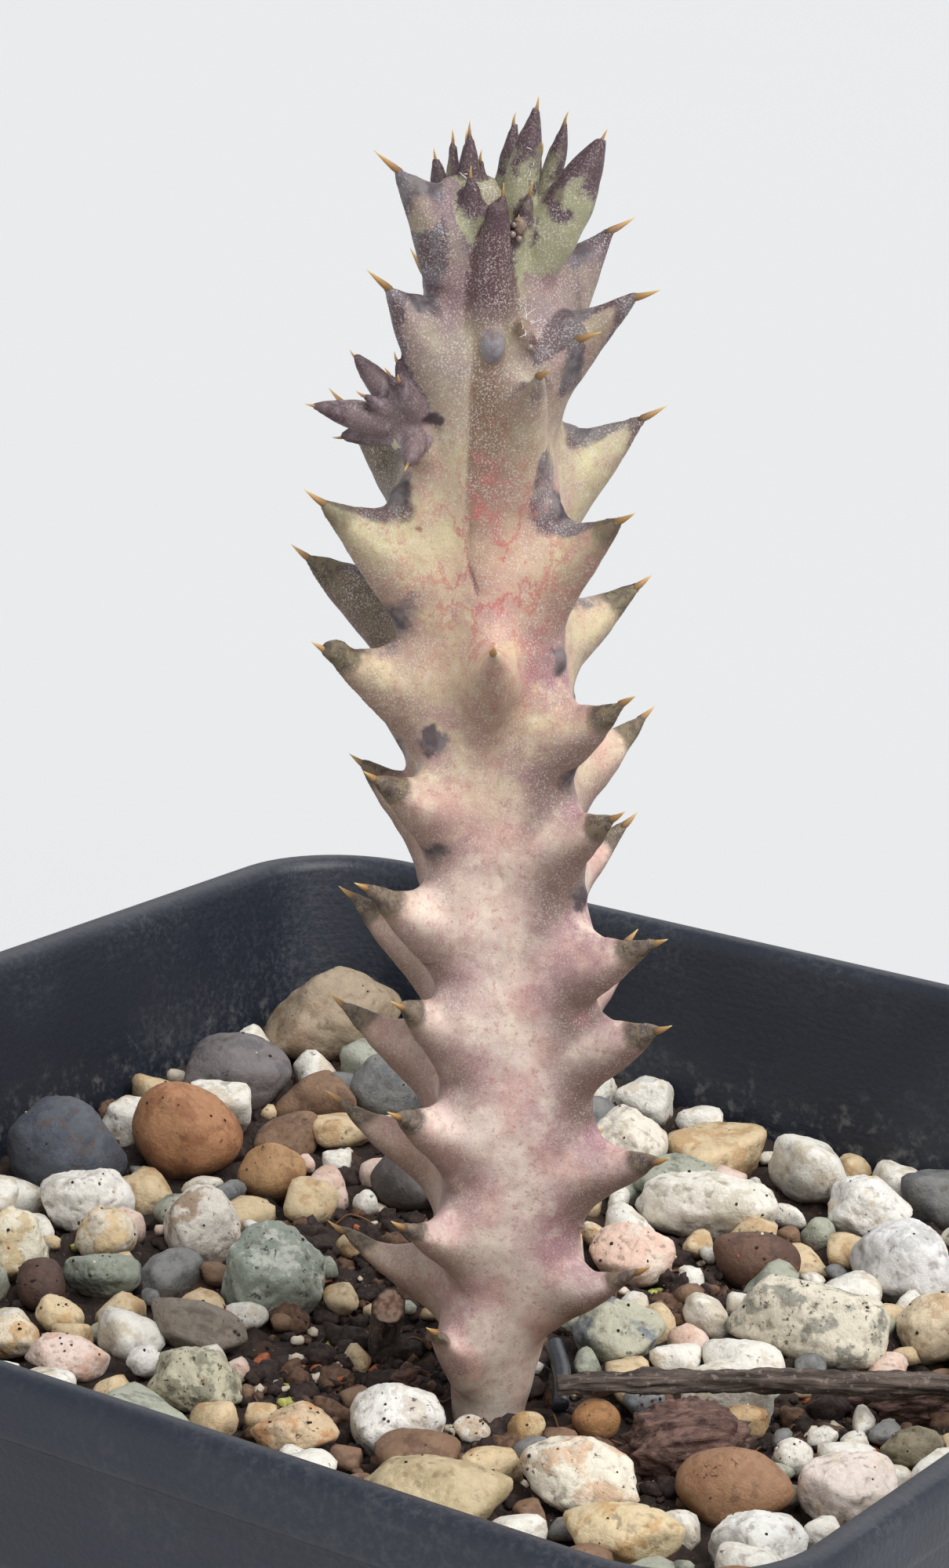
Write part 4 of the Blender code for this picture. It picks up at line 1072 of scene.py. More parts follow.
# Painted shade on the left back face, browner low down and darker higher up.
lee = stem_finish.mark("lee")
lee_colour = stem_finish.mix(stem_height.rise(94.0, 104.0), paint(172, 140, 118), paint(96, 80, 60))
skin_colour = stem_finish.mix(lee * (mottle * 0.7 + 0.05), skin_colour, lee_colour)
# Painted shade, brown, on the front beside the crease.
dusk = stem_finish.mark("dusk")
skin_colour = stem_finish.mix(dusk * (mottle * 0.4 + 0.75), skin_colour, paint(100, 80, 58))
# Lower flanks of the teeth: partly their own mauve-brown tint, partly painted shade.
flank = stem_finish.mark("flank")
skin_colour = stem_finish.mix(flank * (mottle * 0.9 + 0.35), skin_colour, paint(132, 108, 100))
shade_colour = stem_finish.mix(stem_height.rise(94.0, 104.0), paint(140, 110, 88), paint(72, 58, 42))
skin_colour = stem_finish.mix(stem_finish.mark("shade") * (mottle * 0.6 + 0.5), skin_colour, shade_colour)
flush = stem_finish.mark("flush")
flush_veins = stem_finish.noise(0.6, 4.0, stem_finish.stretched(1.0, 1.0, 0.55), roughness=0.6) - 0.5
skin_colour = stem_finish.mix(flush * 0.45, skin_colour, paint(208, 152, 138))
flush_lines = 1.0 - (flush_veins * flush_veins).rise(0.0, 0.0014)
skin_colour = stem_finish.mix(flush * flush_lines * 0.65, skin_colour, paint(184, 84, 84))
# Hollows of the skin are painted darker and redder: partly the skin's own red veins, partly painted shade.
crease = stem_finish.mark("crease")
veins = stem_finish.noise(1.3, 5.0, stem_finish.stretched(1.0, 1.0, 0.5), roughness=0.65)
pinkness = (veins.rise(0.4, 0.6) * 0.4 + 0.25) * (1.0 - stem_height.rise(104.0, 114.0) * 0.85)
skin_colour = stem_finish.mix(crease.rise(0.1, 0.9) * pinkness, skin_colour, paint(166, 88, 92))
# Painted shade: skin that faces downwards is darkened towards brown.
under = stem_finish.mark("under")
skin_colour = stem_finish.mix(under * 0.5, skin_colour, paint(140, 108, 90))
# The grooves are painted dark red-brown: partly the skin's own colour, partly painted shade.
groove = stem_finish.mark("groove")
skin_colour = stem_finish.mix(groove.rise(0.2, 0.9) * 0.75, skin_colour, paint(128, 72, 66))
edge = stem_finish.mark("edge")
slate = stem_finish.noise(0.8, 3.0, stem_finish.moved((7, 1, 4)))
margin = (edge * (stem_finish.noise(1.0, 3.0) * 1.4 + 0.3)).rise(0.35, 0.75)
margin_colour = stem_finish.mix(slate.rise(0.42, 0.6), paint(74, 52, 60), paint(96, 90, 96))
skin_colour = stem_finish.mix(margin * 0.88, skin_colour, margin_colour)
young = stem_finish.mark("young")
young_patch = stem_finish.noise(0.9, 3.0, stem_finish.moved((2, 8, 1)))
shoot_mark = stem_finish.mark("shoot")
young_body = stem_finish.mix(shoot_mark, paint(150, 148, 116), paint(112, 92, 96))
young_colour = stem_finish.mix((young * 0.9 + young_patch * 0.7).rise(1.06, 1.18), young_body,
                               paint(78, 56, 64))
skin_colour = stem_finish.mix(young.rise(0.0, 0.5) * 0.95, skin_colour, young_colour)
finger_mark = stem_finish.mark("finger")
skin_colour = stem_finish.mix(finger_mark * (mottle * 0.8 + 0.5), skin_colour, paint(84, 54, 58))
streaks = stem_finish.noise(1.5, 4.0, stem_finish.stretched(1.3, 1.3, 0.6))
shoot_streaks = shoot_mark * streaks.rise(0.52, 0.66)
skin_colour = stem_finish.mix(shoot_streaks * 0.55, skin_colour, paint(160, 146, 154))
grains = stem_finish.noise(11.0, 3.0, roughness=0.6)
mist = stem_finish.noise(1.1, 4.0, stem_finish.moved((5, 5, 5)))
axil = stem_finish.mark("axil")
tip = stem_finish.mark("tip")
bare = 1.0 - tip.larger(axil * 0.6).larger(shoot_mark * 0.5)
granule = grains.rise(0.5, 0.64) * (mist.rise(0.3, 0.6) * 0.6 + 0.4)
frost = stem_height.rise(82.0, 104.0) * 0.12 + 0.4
skin_colour = stem_finish.mix(granule * bare * frost, skin_colour, paint(220, 210, 204))
axil_edge = stem_finish.noise(1.7, 5.0, stem_finish.moved((1, 6, 2)), roughness=0.65)
axil_colour = stem_finish.mix(mist.rise(0.4, 0.6), paint(66, 58, 64), paint(112, 104, 104))
axil_patch = (axil * (axil_edge * 2.2 - 0.2)).rise(0.3, 0.62)
skin_colour = stem_finish.mix(axil_patch * 0.9, skin_colour, axil_colour)
crust = stem_finish.noise(2.2, 4.0, roughness=0.7)
cap_colour = stem_finish.mix(crust.rise(0.4, 0.56), paint(54, 47, 46), paint(104, 92, 70))
cap_grains = grains.rise(0.56, 0.68) * mist.rise(0.45, 0.6)
cap_colour = stem_finish.mix(cap_grains * 0.6, cap_colour, paint(190, 182, 168))
capped = (tip + (crust - 0.5) * tip * 1.2).rise(0.36, 0.8)
skin_colour = stem_finish.mix(capped * 0.88, skin_colour, cap_colour)
skin_colour = stem_finish.mix(stem_finish.mark("bud") * 0.75, skin_colour, paint(70, 48, 54))
slate_bud, brown_bud = stem_finish.mark("slate_bud"), stem_finish.mark("brown_bud")
slate_colour = stem_finish.mix(mist.rise(0.35, 0.6), paint(84, 74, 84), paint(134, 132, 142))
brown_colour = stem_finish.mix(crust.rise(0.4, 0.6), paint(84, 58, 54), paint(136, 104, 84))
slate_patch = (slate_bud * (mist * 1.2 + 0.4)).rise(0.1, 0.9)
skin_colour = stem_finish.mix(slate_patch * 0.75, skin_colour, slate_colour)
skin_colour = stem_finish.mix(brown_bud * 0.85, skin_colour, brown_colour)
for spot_name, strength, spot_colour in (("dark_spot", 0.9, paint(50, 38, 48)),
                                         ("rust_spot", 0.8, paint(128, 72, 44))):
    spot = (stem_finish.mark(spot_name) * (mottle * 1.6 + 0.2)).rise(0.25, 0.6)
    skin_colour = stem_finish.mix(spot * strength, skin_colour, spot_colour)
spine = stem_finish.mark("spine")
horn_colour = stem_finish.node("ValToRGB", {"stops": [
    (0.0, paint(96, 80, 62)), (0.4, paint(142, 108, 70)), (0.75, paint(188, 148, 92)),
    (1.0, paint(222, 192, 134)),
]}, {0: spine})
skin_colour = stem_finish.mix(spine > 0.05, skin_colour, horn_colour)
stem_skin = stem_finish.dress(skin_colour, roughness=0.42 + mist * 0.18 + tip * 0.15,
                              relief=grains * 0.35 + mottle * 0.9 + crust * tip * 1.6, depth=0.06)
succulent_stem = build("succulent_stem", stem_points, stem_faces, stem_skin, stem_marks)
fit(succulent_stem, "stem", "stem")

# Tufts of white hairs on the brown bud and among the young tubercles: azimuth, height and distance out.
TUFTS = [(30, 56.4, 3.6), (34, 55.9, 3.8), (44, 63.4, 2.2), (-30, 63.0, 2.6)]
HAIRS, HAIR_ROOTS = 5, 60
HAIR_RADII = [0.026, 0.025, 0.023, 0.02, 0.016, 0.01]

# Small wet beads of sap by the youngest tubercles, given in the same way.
BEADS = [(10, 61.6, 2.6), (16, 60.8, 2.9), (8, 60.2, 3.0), (24, 60.0, 2.9), (18, 59.2, 3.1), (30, 55.2, 4.0)]
BEAD_STEPS, BEAD_SIDES, BEAD_SUNK = 8, 12, 0.06


def skin_near(azimuth, height, out, count):
    """The points of the stem's skin nearest to a place given by azimuth, height and distance out."""
    spot = np.array(core_point(height) + heading(azimuth) * out)
    return np.argsort(np.sum((skin_points - spot) ** 2, axis=1))[:count].tolist()


draw = random.Random("hairs")
hairs = []
for tuft in TUFTS:
    roots = skin_near(*tuft, HAIR_ROOTS)
    for _ in range(HAIRS):
        root = draw.choice(roots)
        way = Vector(skin_normals[root]) + Vector([draw.uniform(-0.5, 0.5) for _ in range(3)])
        curl = Vector([draw.uniform(-0.4, 0.4) for _ in range(3)])
        length = draw.uniform(0.35, 0.7)
        start = Vector(skin_points[root])
        path = [start + way.normalized() * (length * k / 5) + curl * (length * (k / 5) ** 2)
                for k in range(6)]
        hairs.append(tube(path, HAIR_RADII, 5))
hair_finish = Finish("young_hair", Specular_IOR_Level=0.3)
hair_tone = hair_finish.noise(2.0, 2.0)
hair_skin = hair_finish.dress(hair_finish.mix(hair_tone, paint(206, 198, 190), paint(236, 232, 226)))
young_hairs = build("young_hairs", *joined(hairs), hair_skin)
fit(young_hairs, "stem")

beads = []
for bead in BEADS:
    root = skin_near(*bead, 1)[0]
    way = Vector(skin_normals[root])
    start = Vector(skin_points[root]) - way * BEAD_SUNK
    size = draw.uniform(0.12, 0.19)
    turns = [math.pi * k / BEAD_STEPS for k in range(BEAD_STEPS + 1)]
    path = [start + way * size * (1.0 - math.cos(turn)) for turn in turns]
    beads.append(tube(path, [size * math.sin(turn) + 0.002 for turn in turns], BEAD_SIDES))
bead_finish = Finish("wet_sap", Specular_IOR_Level=0.8)
bead_colour = bead_finish.mix(bead_finish.noise(1.5, 2.0), paint(96, 80, 70), paint(150, 134, 122))
bead_skin = bead_finish.dress(bead_colour, roughness=0.04)
sap_beads = build("sap_beads", *joined(beads), bead_skin)
fit(sap_beads, "stem")


# Loose stones
# River gravel from 2 to 10 mm that lies on the soil: white and pink quartz, tan and rust-brown pebbles, grey
# and green-grey rock. The stones are dry, dusty and stained brown where they touch the soil.

BALLS = {}


def ball(level):
    """Points and faces of a sphere of triangles."""
    if level not in BALLS:
        bm = bmesh.new()
        bmesh.ops.create_icosphere(bm, subdivisions=level, radius=1.0)
        faces = np.array([[v.index for v in face.verts] for face in bm.faces])
        BALLS[level] = (np.array([v.co[:] for v in bm.verts]), faces)
        bm.free()
    return BALLS[level]


def rough_radius(ways, flats, sharpness):
    """Radius in each direction of a stone that is bounded by flats, given as directions and distances."""
    normals, depths = flats
    reach = np.maximum(ways @ normals.T, 0.0) / depths
    return np.sum(reach ** sharpness, axis=1) ** (-1.0 / sharpness)


def weather(ways, radius, seed, coarse, fine):
    """Uneven a stone's radius with broad hollows and with fine roughness."""
    shift = Vector((seed % 97, seed % 89, seed % 83))
    broad = np.array([noise.noise(Vector(w) * 1.7 + shift) for w in ways.tolist()])
    small = np.array([noise.fractal(Vector(w) * 4.5 + shift, 0.9, 2.1, 4) for w in ways.tolist()])
    return radius * (1.0 + coarse * broad + fine * small), small


def node_hull(node):
    """Middle of a CAD stone, and its faces as directions and distances from that middle."""
    low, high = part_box(node)
    middle = np.array((low + high) / 2 / MM)
    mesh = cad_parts[node].data
    normals = np.array([face.normal[:] for face in mesh.polygons])
    spots = np.array([mesh.vertices[face.vertices[0]].co[:] for face in mesh.polygons]) / MM
    keep = np.linalg.norm(normals, axis=1) > 0.5
    normals, spots = normals[keep], spots[keep]
    return middle, normals, np.sum((spots - middle) * normals, axis=1)


def shaped_stone(node, level, sharpness, chips, coarse, fine):
    """A weathered stone in a CAD stone's place. It keeps that stone's form and fills its box."""
    low, high = (np.array(corner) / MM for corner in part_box(node))
    middle, normals, depths = node_hull(node)
    draw = random.Random(node)
    chip_ways, chip_depths = [], []
    for _ in range(chips):
        way = np.array([draw.gauss(0, 1) for _ in range(3)])
        way /= np.linalg.norm(way)
        reach = rough_radius(way[None], (normals, depths), 30.0)[0]
        chip_ways.append(way)
        chip_depths.append(reach * draw.uniform(0.8, 0.97))
    normals = np.concatenate([normals, chip_ways])
    depths = np.concatenate([depths, chip_depths])
    ways, faces = ball(level)
    radius = rough_radius(ways, (normals, depths), sharpness)
    radius, small = weather(ways, radius, draw.randint(1, 9999), coarse, fine)
    points = ways * radius[:, None]
    points = low + (points - points.min(0)) / np.ptp(points, axis=0) * (high - low)
    marks = {"sunk": (points[:, 2] - low[2]) / (high[2] - low[2]), "hollow": np.clip(0.5 - small, 0.0, 1.0)}
    return points, faces, marks


def stone_finish(name, main, patch, speck, patch_size=2.0, patch_share=0.5, speck_share=0.3, bands=None,
                 roughness=0.62, pits=0.5):
    """Rock of a main colour with patches, specks, pits, and soil in its hollows and round its foot."""
    finish = Finish(name, Specular_IOR_Level=0.4)
    place = finish.stretched(*bands) if bands else finish.place
    blotch = finish.noise(1.0 / patch_size, 5.0, place, roughness=0.62)
    low = 0.68 - 0.36 * patch_share
    colour = finish.mix(blotch.rise(low, low + 0.1), main, patch)
    tone = finish.noise(2.6, 5.0, finish.moved((7, 1, 4)), roughness=0.7)
    colour = finish.mix(tone.rise(0.42, 0.72) * 0.4, colour, [c * 0.62 for c in main])
    colour = finish.mix((1.0 - tone).rise(0.55, 0.75) * 0.45, colour, [min(1.0, c * 1.35) for c in main])
    grit = finish.noise(6.0, 3.0, finish.moved((2, 5, 7)), roughness=0.6)
    fleck = finish.noise(2.6, 4.0, finish.moved((6, 2, 5)), roughness=0.65)
    where = finish.noise(0.8, 3.0, finish.moved((1, 9, 2)))
    specks = fleck.rise(0.6, 0.68) * where.rise(0.72 - 0.4 * speck_share, 0.8 - 0.4 * speck_share)
    colour = finish.mix(specks * 0.85, colour, speck)
    hollow = finish.mark("hollow")
    sunk = finish.mark("sunk")
    stain = finish.noise(1.2, 4.0, finish.moved((3, 3, 8)), roughness=0.7)
    buried = 1.0 - (sunk + (stain - 0.5) * 0.7).rise(0.12, 0.42)
    soiled = buried.larger(hollow.rise(0.62, 0.95) * stain.rise(0.4, 0.6) * 0.8)
    colour = finish.mix(soiled * 0.62, colour, paint(96, 72, 56))
    relief = tone * 1.2 - specks * pits + grit * 0.3
    return finish.dress(colour, roughness=roughness + (tone - 0.5) * 0.25 + soiled * 0.1, relief=relief,
                        depth=0.1)


WHITE, CREAM = paint(236, 233, 226), paint(226, 208, 178)
OCHRE, BLACK = paint(200, 164, 116), paint(48, 42, 38)

# Looks of each stone: main colour, patches and specks, and whatever else sets it apart.
STONES = {
    "stone_white_1": (WHITE, paint(214, 204, 190), paint(74, 60, 48), dict(speck_share=0.75, roughness=0.5)),
    "stone_white_2": (paint(232, 224, 206), paint(214, 182, 152), BLACK,
                      dict(patch_share=0.5, speck_share=0.6)),
    "stone_white_3": (paint(232, 230, 224), paint(212, 208, 200), paint(150, 140, 128),
                      dict(speck_share=0.2)),
    "stone_white_4": (paint(230, 216, 206), paint(216, 190, 152), paint(150, 110, 90), dict(patch_size=3.0)),
    "stone_white_5": (paint(230, 224, 214), paint(208, 196, 180), paint(120, 104, 88), {}),
    "stone_white_6": (paint(226, 220, 208), paint(198, 176, 150), paint(110, 90, 74), {}),
    "stone_white_7": (paint(222, 214, 194), paint(150, 148, 136), paint(72, 72, 66),
                      dict(patch_size=1.4, speck_share=0.8, pits=1.0)),
    "stone_white_8": (paint(226, 218, 204), paint(196, 186, 166), paint(120, 104, 84), {}),
    "stone_white_9": (paint(232, 226, 214), paint(206, 198, 180), paint(140, 126, 104), {}),
    "stone_white_10": (paint(228, 226, 224), paint(196, 194, 190), paint(120, 116, 110), {}),
    "stone_white_11": (paint(230, 222, 200), paint(208, 186, 146), paint(90, 76, 60), dict(speck_share=0.5)),
    "stone_white_12": (paint(232, 228, 220), paint(206, 200, 190), paint(150, 130, 110), {}),
    "stone_white_13": (paint(226, 218, 206), paint(170, 146, 122), paint(90, 70, 56), dict(speck_share=0.5)),
    "stone_white_14": (paint(228, 224, 218), paint(200, 192, 184), paint(120, 106, 96), {}),
    "stone_white_15": (paint(228, 214, 190), paint(206, 170, 124), paint(110, 84, 60), {}),
    "stone_white_16": (WHITE, CREAM, paint(110, 96, 80), {}),
    "stone_white_17": (paint(226, 220, 208), paint(190, 180, 164), paint(96, 88, 78), dict(speck_share=0.5)),
    "stone_white_18": (WHITE, paint(220, 204, 184), paint(120, 100, 82), {}),
    "stone_tan_1": (paint(206, 182, 150), paint(190, 142, 98), paint(104, 62, 38),
                    dict(speck_share=0.5, pits=1.0)),
    "stone_tan_2": (paint(198, 180, 146), paint(178, 160, 124), paint(130, 112, 86), dict(speck_share=0.2)),
    "stone_tan_3": (paint(220, 200, 162), OCHRE, paint(150, 104, 62),
                    dict(bands=(1.5, 0.6, 1.0), patch_size=1.6, roughness=0.55)),
    "stone_tan_4": (paint(206, 184, 146), paint(180, 146, 100), paint(104, 80, 58), {}),
    "stone_tan_5": (paint(198, 168, 128), paint(166, 124, 84), paint(96, 70, 48), {}),
    "stone_tan_6": (paint(224, 206, 176), paint(200, 170, 132), paint(120, 96, 72), {}),
    "stone_tan_7": (paint(216, 190, 150), paint(224, 214, 196), paint(120, 90, 66), {}),
    "stone_tan_8": (paint(220, 198, 160), OCHRE, paint(120, 84, 56), {}),
    "stone_tan_9": (paint(164, 146, 124), paint(146, 122, 98), paint(98, 82, 66), {}),
    "stone_tan_10": (paint(200, 176, 138), paint(214, 200, 172), paint(110, 84, 62), {}),
    "stone_tan_11": (paint(206, 172, 126), paint(188, 140, 90), paint(110, 76, 50), {}),
    "stone_tan_12": (paint(190, 170, 140), paint(206, 190, 160), paint(100, 82, 62), {}),
    "stone_brown_1": (paint(158, 120, 90), paint(146, 106, 78), paint(66, 44, 32),
                      dict(speck_share=0.35, roughness=0.5, pits=1.4)),
    "stone_brown_2": (paint(166, 122, 80), paint(140, 98, 64), paint(80, 54, 36), {}),
    "stone_brown_3": (paint(112, 84, 70), paint(88, 64, 54), paint(54, 38, 32), {}),
    "stone_brown_4": (paint(92, 70, 62), paint(74, 54, 48), paint(48, 34, 30), {}),
    "stone_brown_5": (paint(176, 128, 92), paint(154, 104, 72), paint(96, 62, 44), {}),
    "stone_brown_6": (paint(178, 140, 100), paint(150, 112, 78), paint(96, 64, 42), {}),
    "stone_brown_7": (paint(146, 104, 76), paint(118, 82, 60), paint(70, 48, 36), {}),
    "stone_grey_1": (paint(146, 148, 150), paint(116, 122, 130), paint(70, 72, 76), {}),
    "stone_grey_2": (paint(134, 124, 112), paint(112, 102, 92), paint(84, 74, 66),
                     dict(bands=(0.45, 1.6, 2.2), patch_size=1.0, speck_share=0.4)),
    "stone_grey_3": (paint(88, 92, 100), paint(74, 78, 88), paint(56, 58, 64), {}),
    "stone_grey_4": (paint(118, 112, 112), paint(98, 94, 96), paint(70, 66, 68), {}),
    "stone_grey_5": (paint(92, 86, 84), paint(74, 70, 70), paint(52, 48, 48), {}),
    "stone_grey_6": (paint(126, 126, 124), paint(104, 106, 108), paint(70, 70, 70), {}),
    "stone_grey_7": (paint(138, 136, 130), paint(116, 112, 106), paint(74, 70, 66), {}),
    "stone_green_1": (paint(184, 182, 162), paint(110, 118, 126), paint(84, 88, 88),
                      dict(patch_size=2.6, patch_share=0.55, speck_share=0.6)),
    "stone_green_2": (paint(138, 130, 108), paint(110, 102, 84), paint(66, 58, 46), {}),
    "stone_green_3": (paint(156, 164, 152), paint(206, 208, 196), paint(96, 104, 98),
                      dict(patch_size=1.3, patch_share=0.45, speck_share=0.8, pits=1.6)),
    "stone_green_4": (paint(150, 156, 142), paint(120, 128, 118), paint(84, 88, 80), dict(speck_share=0.5)),
    "stone_green_5": (paint(186, 180, 156), paint(134, 132, 114), paint(60, 58, 50),
                      dict(patch_size=1.0, speck_share=0.8, pits=1.2)),
    "stone_pink_1": (paint(228, 196, 178), paint(234, 216, 200), paint(150, 110, 92), {}),
    "stone_pink_2": (paint(226, 204, 192), paint(214, 176, 156), paint(150, 110, 92), {}),
}

# How each colour of rock is shaped: sharpness of its edges, chips, broad hollows and fine roughness.
SHAPES = {
    "white": (30.0, 22, 0.07, 0.04), "tan": (22.0, 14, 0.06, 0.03), "brown": (10.0, 3, 0.04, 0.012),
    "grey": (20.0, 10, 0.055, 0.024), "green": (24.0, 16, 0.07, 0.05), "pink": (24.0, 16, 0.06, 0.035),
}

# Stones larger than this get the finer mesh, and what lies this far up a stone can carry crumbs.
LARGE_STONE = 3.2
PERCH_SHARE = 0.55

perches = []
for stone_name, (main, patch, speck, extras) in STONES.items():
    kind = stone_name.split("_")[1]
    low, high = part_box(stone_name)
    level = 5 if max(high - low) > LARGE_STONE * MM else 4
    points, faces, marks = shaped_stone(stone_name, level, *SHAPES[kind])
    finish = stone_finish(stone_name + "_rock", main, patch, speck, **extras)
    pebble = build(stone_name.replace("stone", "pebble"), points, faces, finish, marks)
    fit(pebble, "stone_" + kind, stone_name)
    perches.append(points[marks["sunk"] > PERCH_SHARE])


# Bark
# Two chips of red-brown bark and a flake of it, torn along the grain, with stringy fibres and ragged ends.
# They lie on the soil by the stem.

BARK = {"bark_chip_front": 52, "bark_chip_right": 36, "bark_flake": 80}
BARK_SHAPE = (9.0, 5, 0.05, 0.0)

bark_finish = Finish("fibrous_bark", Specular_IOR_Level=0.25)
grain_place = bark_finish.node("CombineXYZ", None, {
    0: bark_finish.mark("grain") * 0.8, 1: bark_finish.mark("across") * 2.6,
    2: bark_finish.mark("rise") * 2.6})
strands = bark_finish.noise(1.0, 6.0, grain_place, roughness=0.7)
bark_colour = bark_finish.mix(strands.rise(0.32, 0.68), paint(58, 42, 40), paint(136, 108, 98))
red_patches = bark_finish.noise(0.7, 3.0).rise(0.5, 0.7)
bark_colour = bark_finish.mix(red_patches * 0.5, bark_colour, paint(74, 46, 42))
pale_flecks = bark_finish.noise(3.5, 3.0).rise(0.6, 0.72)
bark_colour = bark_finish.mix(pale_flecks * 0.5, bark_colour, paint(150, 116, 92))
bark_skin = bark_finish.dress(bark_colour, roughness=0.62 + strands * 0.3, relief=strands, depth=0.25)

for bark_name, turn in BARK.items():
    points, faces, marks = shaped_stone(bark_name, 5, *BARK_SHAPE)
    low, high = (np.array(corner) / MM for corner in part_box(bark_name))
    middle, half = (low + high) / 2, (high - low) / 2
    way = np.array([math.cos(math.radians(turn)), math.sin(math.radians(turn)), 0.0])
    side = np.array([-way[1], way[0], 0.0])
    local = points - middle
    grain, across, rise = local @ way, local @ side, local[:, 2]
    ridge = np.array([noise.fractal(Vector((g * 0.22, a * 1.5, r * 1.5)), 0.6, 2.2, 4)
                      for g, a, r in zip(grain, across, rise)])
    ragged = np.array([noise.noise(Vector((7.0, a * 2.4, r * 2.4))) for a, r in zip(across, rise)])
    end = (np.abs(grain) / np.abs(grain).max()) ** 3
    outward = local / np.linalg.norm(local, axis=1, keepdims=True)
    crumble = relief_noise(points, 0.7, 0.22, 4.0)
    local = local + outward * (0.42 * ridge + crumble)[:, None]
    local = local + way * (np.sign(grain) * end * ragged * 1.3)[:, None]
    local = (local - (local.max(0) + local.min(0)) / 2) * (2 * half / np.ptp(local, axis=0))
    marks.update(grain=grain, across=across, rise=rise)
    chip = build(bark_name.replace("bark", "torn_bark"), middle + local, faces, bark_skin, marks)
    fit(chip, "bark", bark_name)


# Twigs
# A thin dead twig that lies over the gravel right of the stem, with its bark split and its end broken, and
# the stub of a cut twig that stands in the soil on the left and shows its pale round wood.

TWIG = [(8.6, -4.9, 64.75), (12.2, -2.1, 65.0), (16.6, 1.1, 65.2), (20.8, 4.2, 65.1), (25.2, 7.6, 65.0),
        (29.0, 10.8, 64.7)]
TWIG_RADII = [0.42, 0.58, 0.55, 0.6, 0.52, 0.36]
TWIG_SIDES, TWIG_RINGS, TWIG_KNOBS = 28, 110, 0.55
STUB = [(-4.7, -1.4, 59.4), (-4.3, -1.9, 62.6), (-3.2, -3.1, 65.4)]
STUB_RADII = [0.7, 0.8, 0.86]
STUB_SIDES, STUB_RINGS, STUB_KNOBS = 32, 60, 0.16

# The slanting cut takes up this many of the stub's last rings, from a quarter of its slope to the whole.
CUT_RINGS, CUT_START = 4, 0.25


def curve_through(path, count):
    """Evenly numbered points of a smooth curve through a path."""
    path = [Vector(p) for p in path]
    spots = []
    for k in range(count):
        at = k / (count - 1) * (len(path) - 1)
        i = min(int(at), len(path) - 2)
        t = at - i
        before, a, b, after = path[max(i - 1, 0)], path[i], path[i + 1], path[min(i + 2, len(path) - 1)]
        spots.append(0.5 * (2 * a + (b - before) * t + (2 * before - 5 * a + 4 * b - after) * t * t
                            + (3 * a - before - 3 * b + after) * t ** 3))
    return spots


def twig_mesh(path, radii, rings, sides, knobbly, seed):
    """A rough stick: a tube with knots and split bark. It gives points, faces and marks."""
    spots = curve_through(path, rings)
    steps = np.linspace(0, len(radii) - 1, rings)
    girth = np.interp(steps, range(len(radii)), radii)
    points, faces = tube(spots, girth, sides)
    ring = np.repeat(np.arange(rings), sides)
    turn = np.tile(np.arange(sides) * 2 * math.pi / sides, rings)
    length = np.append(ring * (spots[1] - spots[0]).length, [0.0, 0.0])
    turn = np.append(turn, [0.0, 0.0])
    rough = np.array([
        noise.fractal(Vector((math.cos(a) * 1.5 + seed, math.sin(a) * 1.5, s * 0.7)), 0.7, 2.0, 4)
        for a, s in zip(turn, length)])
    middle = np.repeat(np.array([p[:] for p in spots]), sides, axis=0)
    points[:len(middle)] += (points[:len(middle)] - middle) * (rough[:len(middle)] * knobbly)[:, None]
    marks = {"length": length, "turn_x": np.cos(turn), "turn_y": np.sin(turn)}
    return points, faces, marks


twig_finish = Finish("dead_twig", Specular_IOR_Level=0.3)
wood_place = twig_finish.node("CombineXYZ", None, {
    0: twig_finish.mark("turn_x") * 2.2, 1: twig_finish.mark("turn_y") * 2.2,
    2: twig_finish.mark("length") * 0.8})
wood_grain = twig_finish.noise(1.0, 6.0, wood_place, roughness=0.72)
twig_colour = twig_finish.mix(wood_grain.rise(0.34, 0.64), paint(52, 45, 42), paint(116, 102, 94))
twig_flecks = twig_finish.noise(3.0, 3.0).rise(0.58, 0.7)
twig_colour = twig_finish.mix(twig_flecks * 0.6, twig_colour, paint(150, 136, 124))
cut_wood = twig_finish.mix(twig_finish.noise(2.6, 4.0).rise(0.42, 0.62), paint(228, 194, 172),
                           paint(178, 136, 114))
twig_colour = twig_finish.mix(twig_finish.mark("cut").rise(0.27, 0.4), twig_colour, cut_wood)
twig_skin = twig_finish.dress(twig_colour, roughness=0.7 + wood_grain * 0.2, relief=wood_grain, depth=0.18)

points, faces, marks = twig_mesh(TWIG, TWIG_RADII, TWIG_RINGS, TWIG_SIDES, TWIG_KNOBS, 5.0)
marks["cut"] = np.zeros(len(points))
fine_twig = build("fine_twig", points, faces, twig_skin, marks)
fit(fine_twig, "twig", "twig")

points, faces, marks = twig_mesh(STUB, STUB_RADII, STUB_RINGS, STUB_SIDES, STUB_KNOBS, 2.0)
stub_end, stub_way = np.array(STUB[2]), np.array(STUB[2]) - np.array(STUB[1])
facing = np.array((heading(0.0) * 0.85 + Vector((0, 0, 0.5)))[:])
cut_rings = slice(-2 - STUB_SIDES * CUT_RINGS, -2)
shares = np.repeat(np.linspace(CUT_START, 1.0, CUT_RINGS), STUB_SIDES)
lean = (points[cut_rings] - stub_end) @ facing / (stub_way @ facing)
points[cut_rings] -= stub_way * (lean * shares)[:, None]
marks["cut"] = np.zeros(len(points))
marks["cut"][-1] = 1.0
marks["cut"][-2 - STUB_SIDES:-2] = CUT_START
cut_twig = build("cut_twig_stub", points, faces, twig_skin, marks)
fit(cut_twig, "twig", "twig_stub")


